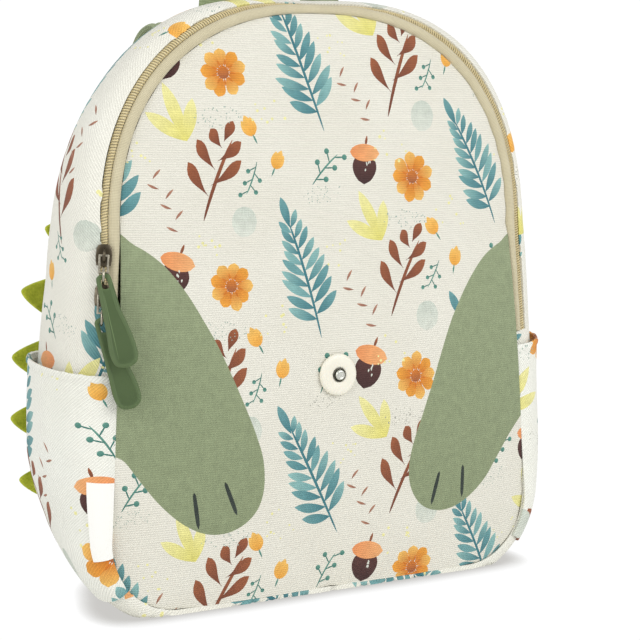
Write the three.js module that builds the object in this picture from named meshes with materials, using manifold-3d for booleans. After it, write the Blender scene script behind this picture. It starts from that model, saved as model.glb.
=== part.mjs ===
// A small child's backpack in printed canvas, standing on its base and zipped shut.
// Millimetres, +Z up, front facing -Y. The origin is the centre of the base, on the floor.
import * as THREE from 'three';
import { mergeVertices } from 'three/addons/utils/BufferGeometryUtils.js';
import Module from 'manifold-3d';

// Front panel: straight sides that lean in a little, a round arch on top.
const PANEL_WIDTH = 254; // seam to seam at the base
const PANEL_HEIGHT = 300; // lower seam to the top of the arch
const PANEL_TAPER = 20; // how much narrower it is where the arch starts
const ARCH_START = 188; // height of the straight sides
const ARCH_POWER = 2.31; // 2 is an ellipse, more is squarer
const FRONT_CORNER = 38; // radius of the lower corners
const PANEL_DOME = 9; // how far the filled bag pushes the panel out
const DOME_EDGE = 2.6; // how flat the dome is in its middle
const SEAM_RISE = 2.5; // lower front seam above the floor

// Body: a band of cloth from the front seam to the back seam.
const BASE_DEPTH = 76;
const TOP_DEPTH = 53;
const SIDE_BULGE = 19.5; // how far the band stands out past the seams
const BASE_BULGE = 12; // the same at the floor
const TOP_BULGE = 6; // the same in the middle of the arch
const TOP_REACH = 95; // from the middle of the arch to where it is full
const FULL_BULGE = 100; // height from which it is full
const SECTION_POWER = 2.6; // roundness of that bulge
const BACK_CORNER = 74;
const BACK_RISE = 3.5; // lower back seam above the floor
const BACK_ARCH_START = 165; // the back's shoulders are rounder than the front's
const BACK_ARCH_POWER = 2;
const BACK_DROP = 4.5; // its arch ends this far below the front's
const BACK_TOP = SEAM_RISE + PANEL_HEIGHT - BACK_DROP;
const CLOTH = 2;
const CLEARANCE = 0.3; // between pieces that touch
const BACK_PAD = 3.5; // thickness of the padded back
const BACK_SWELL = 5;

// Zip
const TAPE_WIDTH = 5.8;
const TAPE_THICKNESS = 1.4;
const TAPE_CROWN = 0.9; // the sewn tape stands up in its middle
const COIL_WIDTH = 3.6;
const COIL_HEIGHT = 1.3; // above the tape
const ZIP_END_LEFT = 155; // heights of its two ends
const ZIP_END_RIGHT = 128;
const INNER_TAPE_WIDTH = 9;

// Sliders, rings and pull tabs, at the left end of the zip
const SLIDER_LENGTH = 11;
const SLIDER_WIDTH = 8;
const SLIDER_HEIGHT = 2.4;
const SLIDER_RUN = 24.5; // how far the upper slider stands above the zip's left end
const SLIDER_GAP = 8.5;
const SLIDER_UPPER_HEIGHT = SEAM_RISE + ZIP_END_LEFT + SLIDER_RUN;
const BAIL_RADIUS = 3.1;
const BAIL_WIRE = 1.5;
const LINK_LENGTH = 9.6; // the flat wire link between bail and ring
const LINK_WIDTH = 5.2;
const LINK_BAR = 1.1;
const LINK_THICKNESS = 1;
const RING_RADIUS = 3.8;
const RING_WIRE = 1.2;
const RING_PLAY = 0.25; // between the ring and what it holds
const TAB_LENGTH = 46;
const TAB_WIDTH = 14.5;
const TAB_THICKNESS = 2.8;
const TAB_HOLE = 2.6; // radius
const TAB_RIM = 1.6; // above the hole
const UPPER_TAB = { swing: 16, ringLean: 57, lean: 10 }; // degrees: foot to the right, ring outwards, tab outwards
const LOWER_TAB = { swing: 20, ringLean: 6, lean: 3 };

// Press snap on the front panel
const SNAP_HEIGHT = 117.5; // above the floor
const SNAP_DIAMETER = 22;
const SNAP_THICKNESS = 2.6;
const STUD_DIAMETER = 7;
const STUD_THICKNESS = 1.6;

// Side pockets and label
const POCKET_TOP = 123;
const POCKET_BOTTOM = 14;
const POCKET_CLOTH = 1.5;
const POCKET_MOUTH = 6; // how far the mouth stands open
const HEM_DEPTH = 9;
const HEM_THICKNESS = 2.4;
const LABEL_WIDTH = 12;
const LABEL_BOTTOM = 34;
const LABEL_TOP = 71;
const LABEL_THICKNESS = 0.8;

// Shoulder straps
const STRAP_WIDTH = 56;
const STRAP_END_WIDTH = 38;
const STRAP_THICKNESS = 7.5;
const STRAP_SEAT = 30; // its sewn upper end, below the top of the back
const STRAP_TOP = BACK_TOP - STRAP_SEAT;
const STRAP_TOP_X = 36;
const STRAP_LOW = 34; // height of its lower end
const STRAP_LOW_X = 97;
const STRAP_BOW = 39; // how far it stands off the back
const WEBBING_WIDTH = 25;
const WEBBING_THICKNESS = 2;
const WEBBING_END = 36; // height where it is sewn on
const WEBBING_END_X = 91;
const WEBBING_LEAVE = 9; // how straight it leaves the strap
const WEBBING_LAND = 11; // and meets the back

// Felt fins along the straps
const FIN_COUNT = 5;
const FIN_BASE = 29;
const FIN_REACH = 27;
const FIN_THICKNESS = 3;
const FIN_TOP = 170; // height of the first fin
const FIN_END_ROOM = 1.5; // strap left below the last fin's root
const FIN_SIZES = [0.85, 1, 1.04, 1, 0.8]; // share of the full size

// Carrying handle
const LOOP_WIDTH = 24;
const LOOP_THICKNESS = 3;
const LOOP_SPAN = 62;
const LOOP_RISE = 46; // crown above those ends
const LOOP_FOOT = 22; // length of its straight ends
const LOOP_DROP = 11; // where they end, below the top of the back

const group = new THREE.Group();
const V = (x, y, z) => new THREE.Vector3(x, y, z);
const lerp = THREE.MathUtils.lerp;

function add(name, geometry, { color, roughness = 0.85, metalness = 0 }, place) {
  const mesh = new THREE.Mesh(geometry, new THREE.MeshStandardMaterial({ color, roughness, metalness }));
  mesh.name = name;
  if (place) mesh.applyMatrix4(place);
  group.add(mesh);
  return mesh;
}

const CANVAS = { color: 0xece2cf };
const KHAKI = { color: 0xc9be9a };
const SAGE = { color: 0x96a37f };
const RUBBER = { color: 0x5f6f4c, roughness: 0.6 };
const METAL = { color: 0x6d675c, roughness: 0.35, metalness: 1 };
const FELT = { color: 0xa3ad2c, roughness: 1 };

// One seam line, walked anticlockwise from the middle of its lower edge as seen from the front.
function seam(cornerRadius, rise, archStart, archPower, top) {
  const low = PANEL_WIDTH / 2;
  const high = (PANEL_WIDTH - PANEL_TAPER) / 2;
  const half = [V(0, 0, rise), V(low - cornerRadius, 0, rise)];
  for (let k = 1; k <= 40; k++) {
    const turn = (k / 40) * (Math.PI / 2);
    half.push(V(low - cornerRadius + cornerRadius * Math.sin(turn), 0, rise + cornerRadius * (1 - Math.cos(turn))));
  }
  for (let k = 0; k <= 120; k++) {
    const turn = (k / 120) * (Math.PI / 2);
    half.push(V(high * Math.cos(turn) ** (2 / archPower), 0, lerp(archStart, top, Math.sin(turn) ** (2 / archPower))));
  }
  half.at(-1).x = 0;
  const points = [...half, ...half.slice(1, -1).reverse().map((p) => V(-p.x, 0, p.z))];
  points.push(points[0].clone());
  const length = [0];
  for (let k = 1; k < points.length; k++) length.push(length[k - 1] + points[k].distanceTo(points[k - 1]));
  return {
    at(share) {
      const want = (share - Math.floor(share)) * length.at(-1);
      let k = length.findIndex((l) => l >= want);
      k = Math.max(k, 1);
      return points[k - 1].clone().lerp(points[k], (want - length[k - 1]) / (length[k] - length[k - 1]));
    },
    // Share of the way round at which the seam reaches a height, on the right (+1) or the left (-1)
    shareAt(height, side) {
      const k = points.findIndex((p) => p.z >= height);
      const share = (length[k - 1] + ((height - points[k - 1].z) / (points[k].z - points[k - 1].z)) * (length[k] - length[k - 1])) / length.at(-1);
      return side > 0 ? share : 1 - share;
    },
    length: length.at(-1),
  };
}

const frontSeam = seam(FRONT_CORNER, SEAM_RISE, SEAM_RISE + ARCH_START, ARCH_POWER, SEAM_RISE + PANEL_HEIGHT);
const backSeam = seam(BACK_CORNER, BACK_RISE, BACK_ARCH_START, BACK_ARCH_POWER, BACK_TOP);
const frontY = (z) => -BASE_DEPTH / 2 + ((BASE_DEPTH - TOP_DEPTH) * z) / PANEL_HEIGHT;
const backY = BASE_DEPTH / 2;

// Cross section of the band at one share of the way round: a row of points from front seam to back seam.
const SECTION_STEPS = 160;
const sectionCache = new Map();
function section(share) {
  if (sectionCache.has(share)) return sectionCache.get(share);
  const front = frontSeam.at(share);
  const back = backSeam.at(share);
  const step = 0.004;
  const along = frontSeam.at(share + step).sub(frontSeam.at(share - step)).normalize();
  const out = V(along.z, 0, -along.x);
  const inArch = front.z > ARCH_START ? THREE.MathUtils.smoothstep(Math.abs(front.x), 0, TOP_REACH) : 1;
  const full = lerp(TOP_BULGE, lerp(BASE_BULGE, SIDE_BULGE, THREE.MathUtils.smoothstep(front.z, 0, FULL_BULGE)), inArch);
  const points = [];
  for (let k = 0; k <= SECTION_STEPS; k++) {
    const turn = (k / SECTION_STEPS) * Math.PI;
    const c = Math.cos(turn);
    const across = (1 - Math.sign(c) * Math.abs(c) ** (2 / SECTION_POWER)) / 2;
    const bulge = full * Math.sin(turn) ** (2 / SECTION_POWER);
    const p = front.clone().lerp(back, across).addScaledVector(out, bulge);
    p.y = lerp(frontY(front.z), backY, across);
    p.z = Math.max(p.z, 0); // the base lies flat on the floor
    points.push(p);
  }
  const length = [0];
  for (let k = 1; k < points.length; k++) length.push(length[k - 1] + points[k].distanceTo(points[k - 1]));
  const found = { points, length, total: length.at(-1) };
  sectionCache.set(share, found);
  return found;
}

// A point of the band, `across` millimetres from the front seam
function bandPoint(share, across) {
  const { points, length, total } = section(share);
  const want = THREE.MathUtils.clamp(across, 0, total);
  const k = Math.max(length.findIndex((l) => l >= want), 1);
  return points[k - 1].clone().lerp(points[k], (want - length[k - 1]) / (length[k] - length[k - 1]));
}

function bandNormal(share, across) {
  const total = section(share).total;
  const du = bandPoint(share + 0.002, across).sub(bandPoint(share - 0.002, across));
  const ds = bandPoint(share, Math.min(across + 1, total)).sub(bandPoint(share, Math.max(across - 1, 0)));
  return du.cross(ds).negate().normalize();
}

const bandLift = (share, across, lift) => bandPoint(share, across).addScaledVector(bandNormal(share, across), lift);

// A closed sheet between two grids of points, top[i][j] on the outside. `ring` joins the last row to the first.
function sheet(top, under, ring = false) {
  const positions = [];
  const rows = top.length;
  const columns = top[0].length;
  const quad = (a, b, c, d) => {
    for (const t of [[a, b, c], [a, c, d]]) {
      if (t[0].distanceTo(t[1]) > 1e-4 && t[1].distanceTo(t[2]) > 1e-4 && t[2].distanceTo(t[0]) > 1e-4) {
        for (const p of t) positions.push(p.x, p.y, p.z);
      }
    }
  };
  const last = ring ? rows : rows - 1;
  for (let i = 0; i < last; i++) {
    const n = (i + 1) % rows;
    for (let j = 0; j < columns - 1; j++) {
      quad(top[i][j], top[i][j + 1], top[n][j + 1], top[n][j]);
      quad(under[i][j], under[n][j], under[n][j + 1], under[i][j + 1]);
    }
    quad(top[i][0], top[n][0], under[n][0], under[i][0]);
    quad(top[i][columns - 1], under[i][columns - 1], under[n][columns - 1], top[n][columns - 1]);
  }
  if (!ring) {
    for (let j = 0; j < columns - 1; j++) {
      quad(top[0][j], under[0][j], under[0][j + 1], top[0][j + 1]);
      const e = rows - 1;
      quad(top[e][j], top[e][j + 1], under[e][j + 1], under[e][j]);
    }
  }
  const geometry = new THREE.BufferGeometry();
  geometry.setAttribute('position', new THREE.Float32BufferAttribute(positions, 3));
  return mergeVertices(geometry, 1e-4);
}

// Stations round the bag, shared by every piece that lies on the band, so that neighbours keep their clearance.
const NOTCH = 0.4 / frontSeam.length;
const zipRight = frontSeam.shareAt(SEAM_RISE + ZIP_END_RIGHT, 1);
const zipLeft = frontSeam.shareAt(SEAM_RISE + ZIP_END_LEFT, -1);
const pocketRight = [frontSeam.shareAt(SEAM_RISE + POCKET_BOTTOM, 1), frontSeam.shareAt(POCKET_TOP, 1)];
const pocketLeft = [frontSeam.shareAt(POCKET_TOP, -1), frontSeam.shareAt(SEAM_RISE + POCKET_BOTTOM, -1)];
const labelShares = [frontSeam.shareAt(LABEL_TOP, -1), frontSeam.shareAt(LABEL_BOTTOM, -1)];
const hemRight = frontSeam.shareAt(POCKET_TOP - HEM_DEPTH, 1);
const hemLeft = frontSeam.shareAt(POCKET_TOP - HEM_DEPTH, -1);
const cornerFrom = (PANEL_WIDTH / 2 - FRONT_CORNER) / frontSeam.length;
const cornerTo = frontSeam.shareAt(SEAM_RISE + FRONT_CORNER, 1);
const cornerShares = [[cornerFrom, cornerTo], [1 - cornerTo, 1 - cornerFrom]];
const breaks = [
  0, ...cornerShares.flat(), pocketRight[0], hemRight, pocketRight[1], zipRight - NOTCH, zipRight, zipRight + NOTCH, 0.5,
  zipLeft - NOTCH, zipLeft, zipLeft + NOTCH, pocketLeft[0], hemLeft, ...labelShares, pocketLeft[1], 1,
].sort((a, b) => a - b);
const STATION = 16; // about this far apart, and closer round the corners
const CORNER_STATION = 9;
const stations = [];
for (let k = 0; k < breaks.length - 1; k++) {
  const round = cornerShares.some(([from, to]) => breaks[k] >= from - 1e-9 && breaks[k + 1] <= to + 1e-9);
  const steps = Math.max(1, Math.round(((breaks[k + 1] - breaks[k]) * frontSeam.length) / (round ? CORNER_STATION : STATION)));
  for (let s = 0; s < steps; s++) stations.push(lerp(breaks[k], breaks[k + 1], s / steps));
}
const between = (from, to) => stations.filter((s) => s >= from - 1e-9 && s <= to + 1e-9);

// Columns across the band, in millimetres from the front seam
const zipEdge = CLEARANCE + TAPE_WIDTH + CLEARANCE + COIL_WIDTH + CLEARANCE;
const nearSeam = [CLEARANCE, 0.33 * zipEdge, 0.66 * zipEdge, zipEdge];
const FAR_COLUMNS = 7;
function columns(share, start) {
  const total = section(share).total - CLEARANCE;
  const near = nearSeam.map((s, k) => (start > CLEARANCE ? start + k * 0.9 : s));
  const far = [];
  for (let k = 1; k <= FAR_COLUMNS; k++) far.push(lerp(near.at(-1), total, (k / FAR_COLUMNS) ** 1.15));
  return [...near, ...far];
}

// Front panel
const domeAt = (rho) => PANEL_DOME * (1 - rho ** DOME_EDGE) ** 0.85;
const PANEL_RINGS = [1, 0.965, 0.89, 0.77, 0.55, 0.25, 0];
const panelLean = Math.atan((BASE_DEPTH - TOP_DEPTH) / PANEL_HEIGHT);
const panelNormal = V(0, -Math.cos(panelLean), -Math.sin(panelLean));
const panelMiddle = V(0, 0, SEAM_RISE + PANEL_HEIGHT * 0.48);
function panelPoint(share, rho, lift = 0) {
  const p = panelMiddle.clone().lerp(frontSeam.at(share), rho);
  p.y = frontY(p.z);
  return p.addScaledVector(panelNormal, domeAt(rho) + lift);
}
add('front_panel', sheet(
  stations.map((s) => PANEL_RINGS.map((rho) => panelPoint(s, rho))).map((row) => row.reverse()),
  stations.map((s) => PANEL_RINGS.map((rho) => panelPoint(s, rho, -CLOTH))).map((row) => row.reverse()), true), CANVAS);

// Gusset: from the seam, or from the zip where there is one
const inZip = (s) => s > zipRight - NOTCH / 2 && s < zipLeft + NOTCH / 2;
const gussetTop = stations.map((s) => columns(s, inZip(s) ? zipEdge : CLEARANCE).map((c) => bandPoint(s, c)));
const gussetUnder = stations.map((s) => columns(s, inZip(s) ? zipEdge : CLEARANCE).map((c) => {
  const p = bandLift(s, c, -CLOTH);
  return p;
}));
add('gusset', sheet(gussetTop, gussetUnder, true), CANVAS);

// Back panel, padded and swollen a little
function backPoint(share, rho, y) {
  const p = V(0, 0, BACK_RISE + PANEL_HEIGHT * 0.48).lerp(backSeam.at(share), rho);
  p.y = y;
  return p;
}
const BACK_RINGS = [0, 0.5, 0.88, 1];
const swell = (rho) => BACK_SWELL * (1 - rho ** 3);
add('back_panel', sheet(
  stations.map((s) => BACK_RINGS.map((rho) => backPoint(s, rho, backY + swell(rho))).reverse()),
  stations.map((s) => BACK_RINGS.map((rho) => backPoint(s, rho, backY - CLOTH + swell(rho) - (BACK_PAD - CLOTH) * (1 - rho ** 6))).reverse()), true), SAGE);

// How far back the panel's outer face lies at a place on it, for what is sewn there
function backFaceAt(x, z) {
  const middle = V(0, 0, BACK_RISE + PANEL_HEIGHT * 0.48);
  const place = V(x, 0, z).sub(middle);
  let rho = 0;
  for (let k = 0; k < 240; k++) {
    const on = backSeam.at(k / 240);
    const along = backSeam.at((k + 1) / 240).sub(on);
    const away = V(along.z, 0, -along.x);
    rho = Math.max(rho, place.dot(away) / on.sub(middle).dot(away));
  }
  const k = Math.max(1, BACK_RINGS.findIndex((r) => r >= rho));
  const share = (rho - BACK_RINGS[k - 1]) / (BACK_RINGS[k] - BACK_RINGS[k - 1]);
  return backY + lerp(swell(BACK_RINGS[k - 1]), swell(BACK_RINGS[k]), share);
}

// Zip: tape in the front seam, the coil beside it, the other tape under the gusset's edge
const zipStations = between(zipRight + NOTCH, zipLeft - NOTCH);
const crown = (share) => TAPE_CROWN * Math.sin(Math.PI * share);
const across = (from, width, shares, lift) => zipStations.map((s) => shares.map((k) => bandLift(s, from + width * k, lift(k))));
const TAPE_SHARES = [0, 0.33, 0.67, 1];
add('zip_tape', sheet(
  across(CLEARANCE, TAPE_WIDTH, TAPE_SHARES, crown),
  across(CLEARANCE, TAPE_WIDTH, TAPE_SHARES, () => -TAPE_THICKNESS)), KHAKI);
const coilStart = 2 * CLEARANCE + TAPE_WIDTH;
add('zip_coil', sheet(
  across(coilStart, COIL_WIDTH, TAPE_SHARES, (k) => COIL_HEIGHT * Math.sin(Math.PI * k) ** 0.6 - 0.3),
  across(coilStart, COIL_WIDTH, TAPE_SHARES, () => -TAPE_THICKNESS)), { ...KHAKI, roughness: 0.5 });
add('zip_tape_inner', sheet(
  across(coilStart, INNER_TAPE_WIDTH, [0, 0.5, 1], () => -CLOTH - CLEARANCE - 0.1),
  across(coilStart, INNER_TAPE_WIDTH, [0, 0.5, 1], () => -CLOTH - CLEARANCE - 0.1 - TAPE_THICKNESS)), KHAKI);

// Side pockets: a sheet over the lower band, open at its mouth, with a thicker hem
for (const [name, [from, to], hem, mouth] of [
  ['pocket_right', pocketRight, hemRight, pocketRight[1]],
  ['pocket_left', pocketLeft, hemLeft, pocketLeft[0]],
]) {
  const rows = between(from, to);
  const open = (s, c) => {
    const up = 1 - Math.abs((s - mouth) / (to - from));
    const over = c / section(s).total;
    return CLEARANCE + POCKET_MOUTH * Math.sin(Math.PI * over) ** 1.5 * up ** 2;
  };
  const wall = (s) => (Math.abs(s - mouth) <= Math.abs(hem - mouth) + 1e-9 ? HEM_THICKNESS : POCKET_CLOTH);
  add(name, sheet(
    rows.map((s) => columns(s, CLEARANCE).map((c) => bandLift(s, c, open(s, c) + wall(s)))),
    rows.map((s) => columns(s, CLEARANCE).map((c) => bandLift(s, c, open(s, c))))), CANVAS);
}

// Side label, sewn into the left front seam over the pocket
const labelLift = 3 * CLEARANCE + POCKET_CLOTH;
const labelColumns = nearSeam.map((c) => Math.min(c, CLEARANCE + LABEL_WIDTH));
const labelRows = between(labelShares[0], labelShares[1]);
add('side_label', sheet(
  labelRows.map((s) => labelColumns.map((c) => bandLift(s, c, labelLift + LABEL_THICKNESS))),
  labelRows.map((s) => labelColumns.map((c) => bandLift(s, c, labelLift)))), { color: 0xf4f2ea });

// Press snap, on the dome of the panel
const snapRho = Math.abs(SNAP_HEIGHT - panelMiddle.z) / (panelMiddle.z - SEAM_RISE);
const snapSeat = panelPoint(0, snapRho);
const snapUp = panelPoint(0, snapRho - 0.02).sub(panelPoint(0, snapRho + 0.02));
const snapOut = V(1, 0, 0).cross(snapUp).normalize();
const onPanel = (lift) => {
  const turn = new THREE.Quaternion().setFromUnitVectors(V(0, 1, 0), snapOut);
  return new THREE.Matrix4().compose(snapSeat.clone().addScaledVector(snapOut, lift), turn, V(1, 1, 1));
};
const disc = (d, t, rim) => new THREE.LatheGeometry([
  [0, 0], [d / 2 - rim, 0], [d / 2, rim], [d / 2, t - rim], [d / 2 - rim, t], [0, t],
].map(([x, y]) => new THREE.Vector2(x, y)), 40);
add('snap_disc', disc(SNAP_DIAMETER, SNAP_THICKNESS, 0.7), { color: 0xece9dc, roughness: 0.4 }, onPanel(CLEARANCE));
add('snap_stud', disc(STUD_DIAMETER, STUD_THICKNESS, 0.4), METAL, onPanel(2 * CLEARANCE + SNAP_THICKNESS));

// Sliders on the coil, each with a bail that its ring passes under
const wasm = await Module();
wasm.setup();
function solid(geometry) {
  const g = geometry.clone();
  g.deleteAttribute('normal');
  g.deleteAttribute('uv');
  const m = mergeVertices(g, 1e-4);
  return new wasm.Manifold(new wasm.Mesh({
    numProp: 3, vertProperties: new Float32Array(m.attributes.position.array), triVerts: new Uint32Array(m.index.array),
  }));
}
function fromSolid(body) {
  const m = body.getMesh();
  const g = new THREE.BufferGeometry();
  g.setAttribute('position', new THREE.Float32BufferAttribute(m.vertProperties, 3));
  g.setIndex([...m.triVerts]);
  return g;
}
const sliderBody = new THREE.BoxGeometry(SLIDER_WIDTH, SLIDER_HEIGHT, SLIDER_LENGTH);
const bail = new THREE.TorusGeometry(BAIL_RADIUS, BAIL_WIRE / 2, 8, 20).rotateY(Math.PI / 2).translate(0, -SLIDER_HEIGHT / 2, 0);
const beneath = new THREE.BoxGeometry(SLIDER_LENGTH * 2, SLIDER_LENGTH * 2, SLIDER_LENGTH * 2).translate(0, SLIDER_LENGTH, 0);
const sliderGeometry = fromSolid(solid(bail).subtract(solid(beneath)).add(solid(sliderBody)));

const tabOutline = [ // shares of the tab's width and length, from its top
  [-0.22, 0], [0.2, 0], [0.27, 0.16], [0.3, 0.38], [0.42, 0.58], [0.5, 0.8], [0.44, 0.94], [0.2, 1],
  [-0.12, 1], [-0.36, 0.95], [-0.44, 0.82], [-0.38, 0.6], [-0.33, 0.36], [-0.29, 0.14],
];
const tabShape = new THREE.Shape(new THREE.SplineCurve(
  [...tabOutline, tabOutline[0]].map(([x, z]) => new THREE.Vector2(x * TAB_WIDTH, -z * TAB_LENGTH))).getPoints(40).slice(0, -1));
const holeDrop = TAB_HOLE + TAB_RIM;
tabShape.holes.push(new THREE.Path([...Array(20).keys()].map((k) => new THREE.Vector2(
  -TAB_HOLE * Math.sin((k / 20) * 2 * Math.PI), TAB_HOLE * Math.cos((k / 20) * 2 * Math.PI) - holeDrop))));

const linkShape = new THREE.Shape([[-1, 0], [1, 0], [1, -1], [-1, -1]]
  .map(([x, y]) => new THREE.Vector2((x * LINK_WIDTH) / 2, y * LINK_LENGTH)));
linkShape.holes.push(new THREE.Path([[-1, -1], [1, -1], [1, 1], [-1, 1]].map(([x, y]) => new THREE.Vector2(
  x * (LINK_WIDTH / 2 - LINK_BAR), -LINK_LENGTH / 2 + y * (LINK_LENGTH / 2 - LINK_BAR)))));
const linkGeometry = new THREE.ExtrudeGeometry(linkShape, { depth: LINK_THICKNESS, bevelEnabled: false })
  .translate(0, LINK_BAR / 2, -LINK_THICKNESS / 2);

const RAD = Math.PI / 180;
for (const [name, height, { swing, ringLean, lean }] of [
  ['upper', SLIDER_UPPER_HEIGHT, UPPER_TAB],
  ['lower', SLIDER_UPPER_HEIGHT - SLIDER_LENGTH - SLIDER_GAP, LOWER_TAB],
]) {
  const share = frontSeam.shareAt(height, -1);
  const middle = coilStart + COIL_WIDTH / 2;
  const seat = bandPoint(share, middle);
  const out = bandNormal(share, middle);
  const up = bandPoint(share - 0.004, middle).sub(seat).normalize();
  const right = out.clone().negate().cross(up).normalize();
  const lift = COIL_HEIGHT + CLEARANCE + SLIDER_HEIGHT / 2;
  // local axes: X across the coil, -Y away from the bag, Z along the coil
  add(`slider_${name}`, sliderGeometry, METAL, new THREE.Matrix4().makeBasis(right, up.clone().cross(right), up)
    .setPosition(seat.clone().addScaledVector(out, lift)));

  // the link hangs flat from the bail, the ring leans out from its lower bar and carries the tab
  const linkTop = seat.clone().addScaledVector(out, lift + SLIDER_HEIGHT / 2 + CLEARANCE + LINK_THICKNESS / 2 + 0.2);
  add(`pull_link_${name}`, linkGeometry, METAL, new THREE.Matrix4().makeBasis(right, up, right.clone().cross(up)).setPosition(linkTop));
  const ringDown = up.clone().negate().applyAxisAngle(right, -ringLean * RAD);
  const lowerBar = linkTop.clone().addScaledVector(up, LINK_BAR - LINK_LENGTH);
  const ringMiddle = lowerBar.addScaledVector(ringDown, RING_RADIUS - RING_WIRE / 2 - RING_PLAY - Math.hypot(LINK_BAR, LINK_THICKNESS) / 2);
  const ringAcross = out.clone().addScaledVector(ringDown, -out.dot(ringDown)).normalize();
  add(`pull_ring_${name}`, new THREE.TorusGeometry(RING_RADIUS, RING_WIRE / 2, 6, 20), METAL,
    new THREE.Matrix4().makeBasis(ringAcross, ringDown, ringAcross.clone().cross(ringDown)).setPosition(ringMiddle));

  // the upper rim of the tab's hole rests in the ring
  const tabUp = up.clone().applyAxisAngle(right, -lean * RAD);
  const tabOut = right.clone().cross(tabUp).normalize();
  tabUp.applyAxisAngle(tabOut, swing * RAD);
  const rim = ringMiddle.clone().addScaledVector(ringDown, RING_RADIUS - RING_WIRE / 2 - RING_PLAY - Math.hypot(TAB_RIM, TAB_THICKNESS) / 2);
  const holeMiddle = rim.addScaledVector(tabUp, -TAB_RIM / 2 - TAB_HOLE);
  add(`pull_tab_${name}`, new THREE.ExtrudeGeometry(tabShape, { depth: TAB_THICKNESS, bevelEnabled: false })
    .translate(0, holeDrop, -TAB_THICKNESS / 2), RUBBER,
    new THREE.Matrix4().makeBasis(tabUp.clone().cross(tabOut), tabUp, tabOut).setPosition(holeMiddle));
}

// Shoulder straps. Shares: down from the upper end, out from the back, sideways to the lower end.
const STRAP_COURSE = [
  { down: 0.0, bow: 0.0, side: 0.0 },
  { down: -0.06, bow: 0.13, side: 0.01 },
  { down: -0.105, bow: 0.3, side: 0.03 },
  { down: -0.085, bow: 0.54, side: 0.07 },
  { down: 0.02, bow: 0.78, side: 0.15 },
  { down: 0.19, bow: 0.95, side: 0.28 },
  { down: 0.38, bow: 1.0, side: 0.43 },
  { down: 0.54, bow: 1.0, side: 0.64 },
  { down: 0.68, bow: 0.925, side: 0.76 },
  { down: 0.84, bow: 0.705, side: 0.89 },
  { down: 1.0, bow: 0.35, side: 1.0 },
];
const strapSeat = backFaceAt(STRAP_TOP_X - STRAP_WIDTH / 2, STRAP_TOP) + CLEARANCE + STRAP_THICKNESS / 2;
const strapMiddle = ({ down, bow, side }, hand) => V(hand * lerp(STRAP_TOP_X, STRAP_LOW_X, side),
  lerp(strapSeat, backY + BACK_SWELL + STRAP_BOW, bow), lerp(STRAP_TOP, STRAP_LOW, down));
function strapFrame(side, share) {
  const curve = strapFrame[side] ??= new THREE.CatmullRomCurve3(STRAP_COURSE.map((row) => strapMiddle(row, side)), false, 'centripetal');
  const middle = curve.getPointAt(share);
  const down = curve.getTangentAt(share);
  const wide = V(1, 0, 0).addScaledVector(down, -down.x).normalize();
  return { middle, down, wide, out: wide.clone().cross(down) };
}
const strapWidth = (share) => lerp(STRAP_WIDTH, STRAP_END_WIDTH, THREE.MathUtils.smoothstep(share, 0.45, 1));
const STRAP_SECTION = [-1, -0.9, 0, 0.9, 1]; // shares of half its width
const padding = (k) => (STRAP_THICKNESS / 2) * (1 - Math.abs(k) ** 5 * 0.75);
const STRAP_ROWS = 22;
function strapShareAt(height) {
  let [low, high] = [0.25, 1]; // below the arch the strap only goes down
  for (let k = 0; k < 30; k++) {
    const share = (low + high) / 2;
    if (strapFrame(1, share).middle.z > height) low = share; else high = share;
  }
  return low;
}
const FIN_SEAT = 0.3; // more, for the strap's curve along a fin's root
const strapLength = new THREE.CatmullRomCurve3(STRAP_COURSE.map((row) => strapMiddle(row, 1)), false, 'centripetal').getLength();
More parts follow.
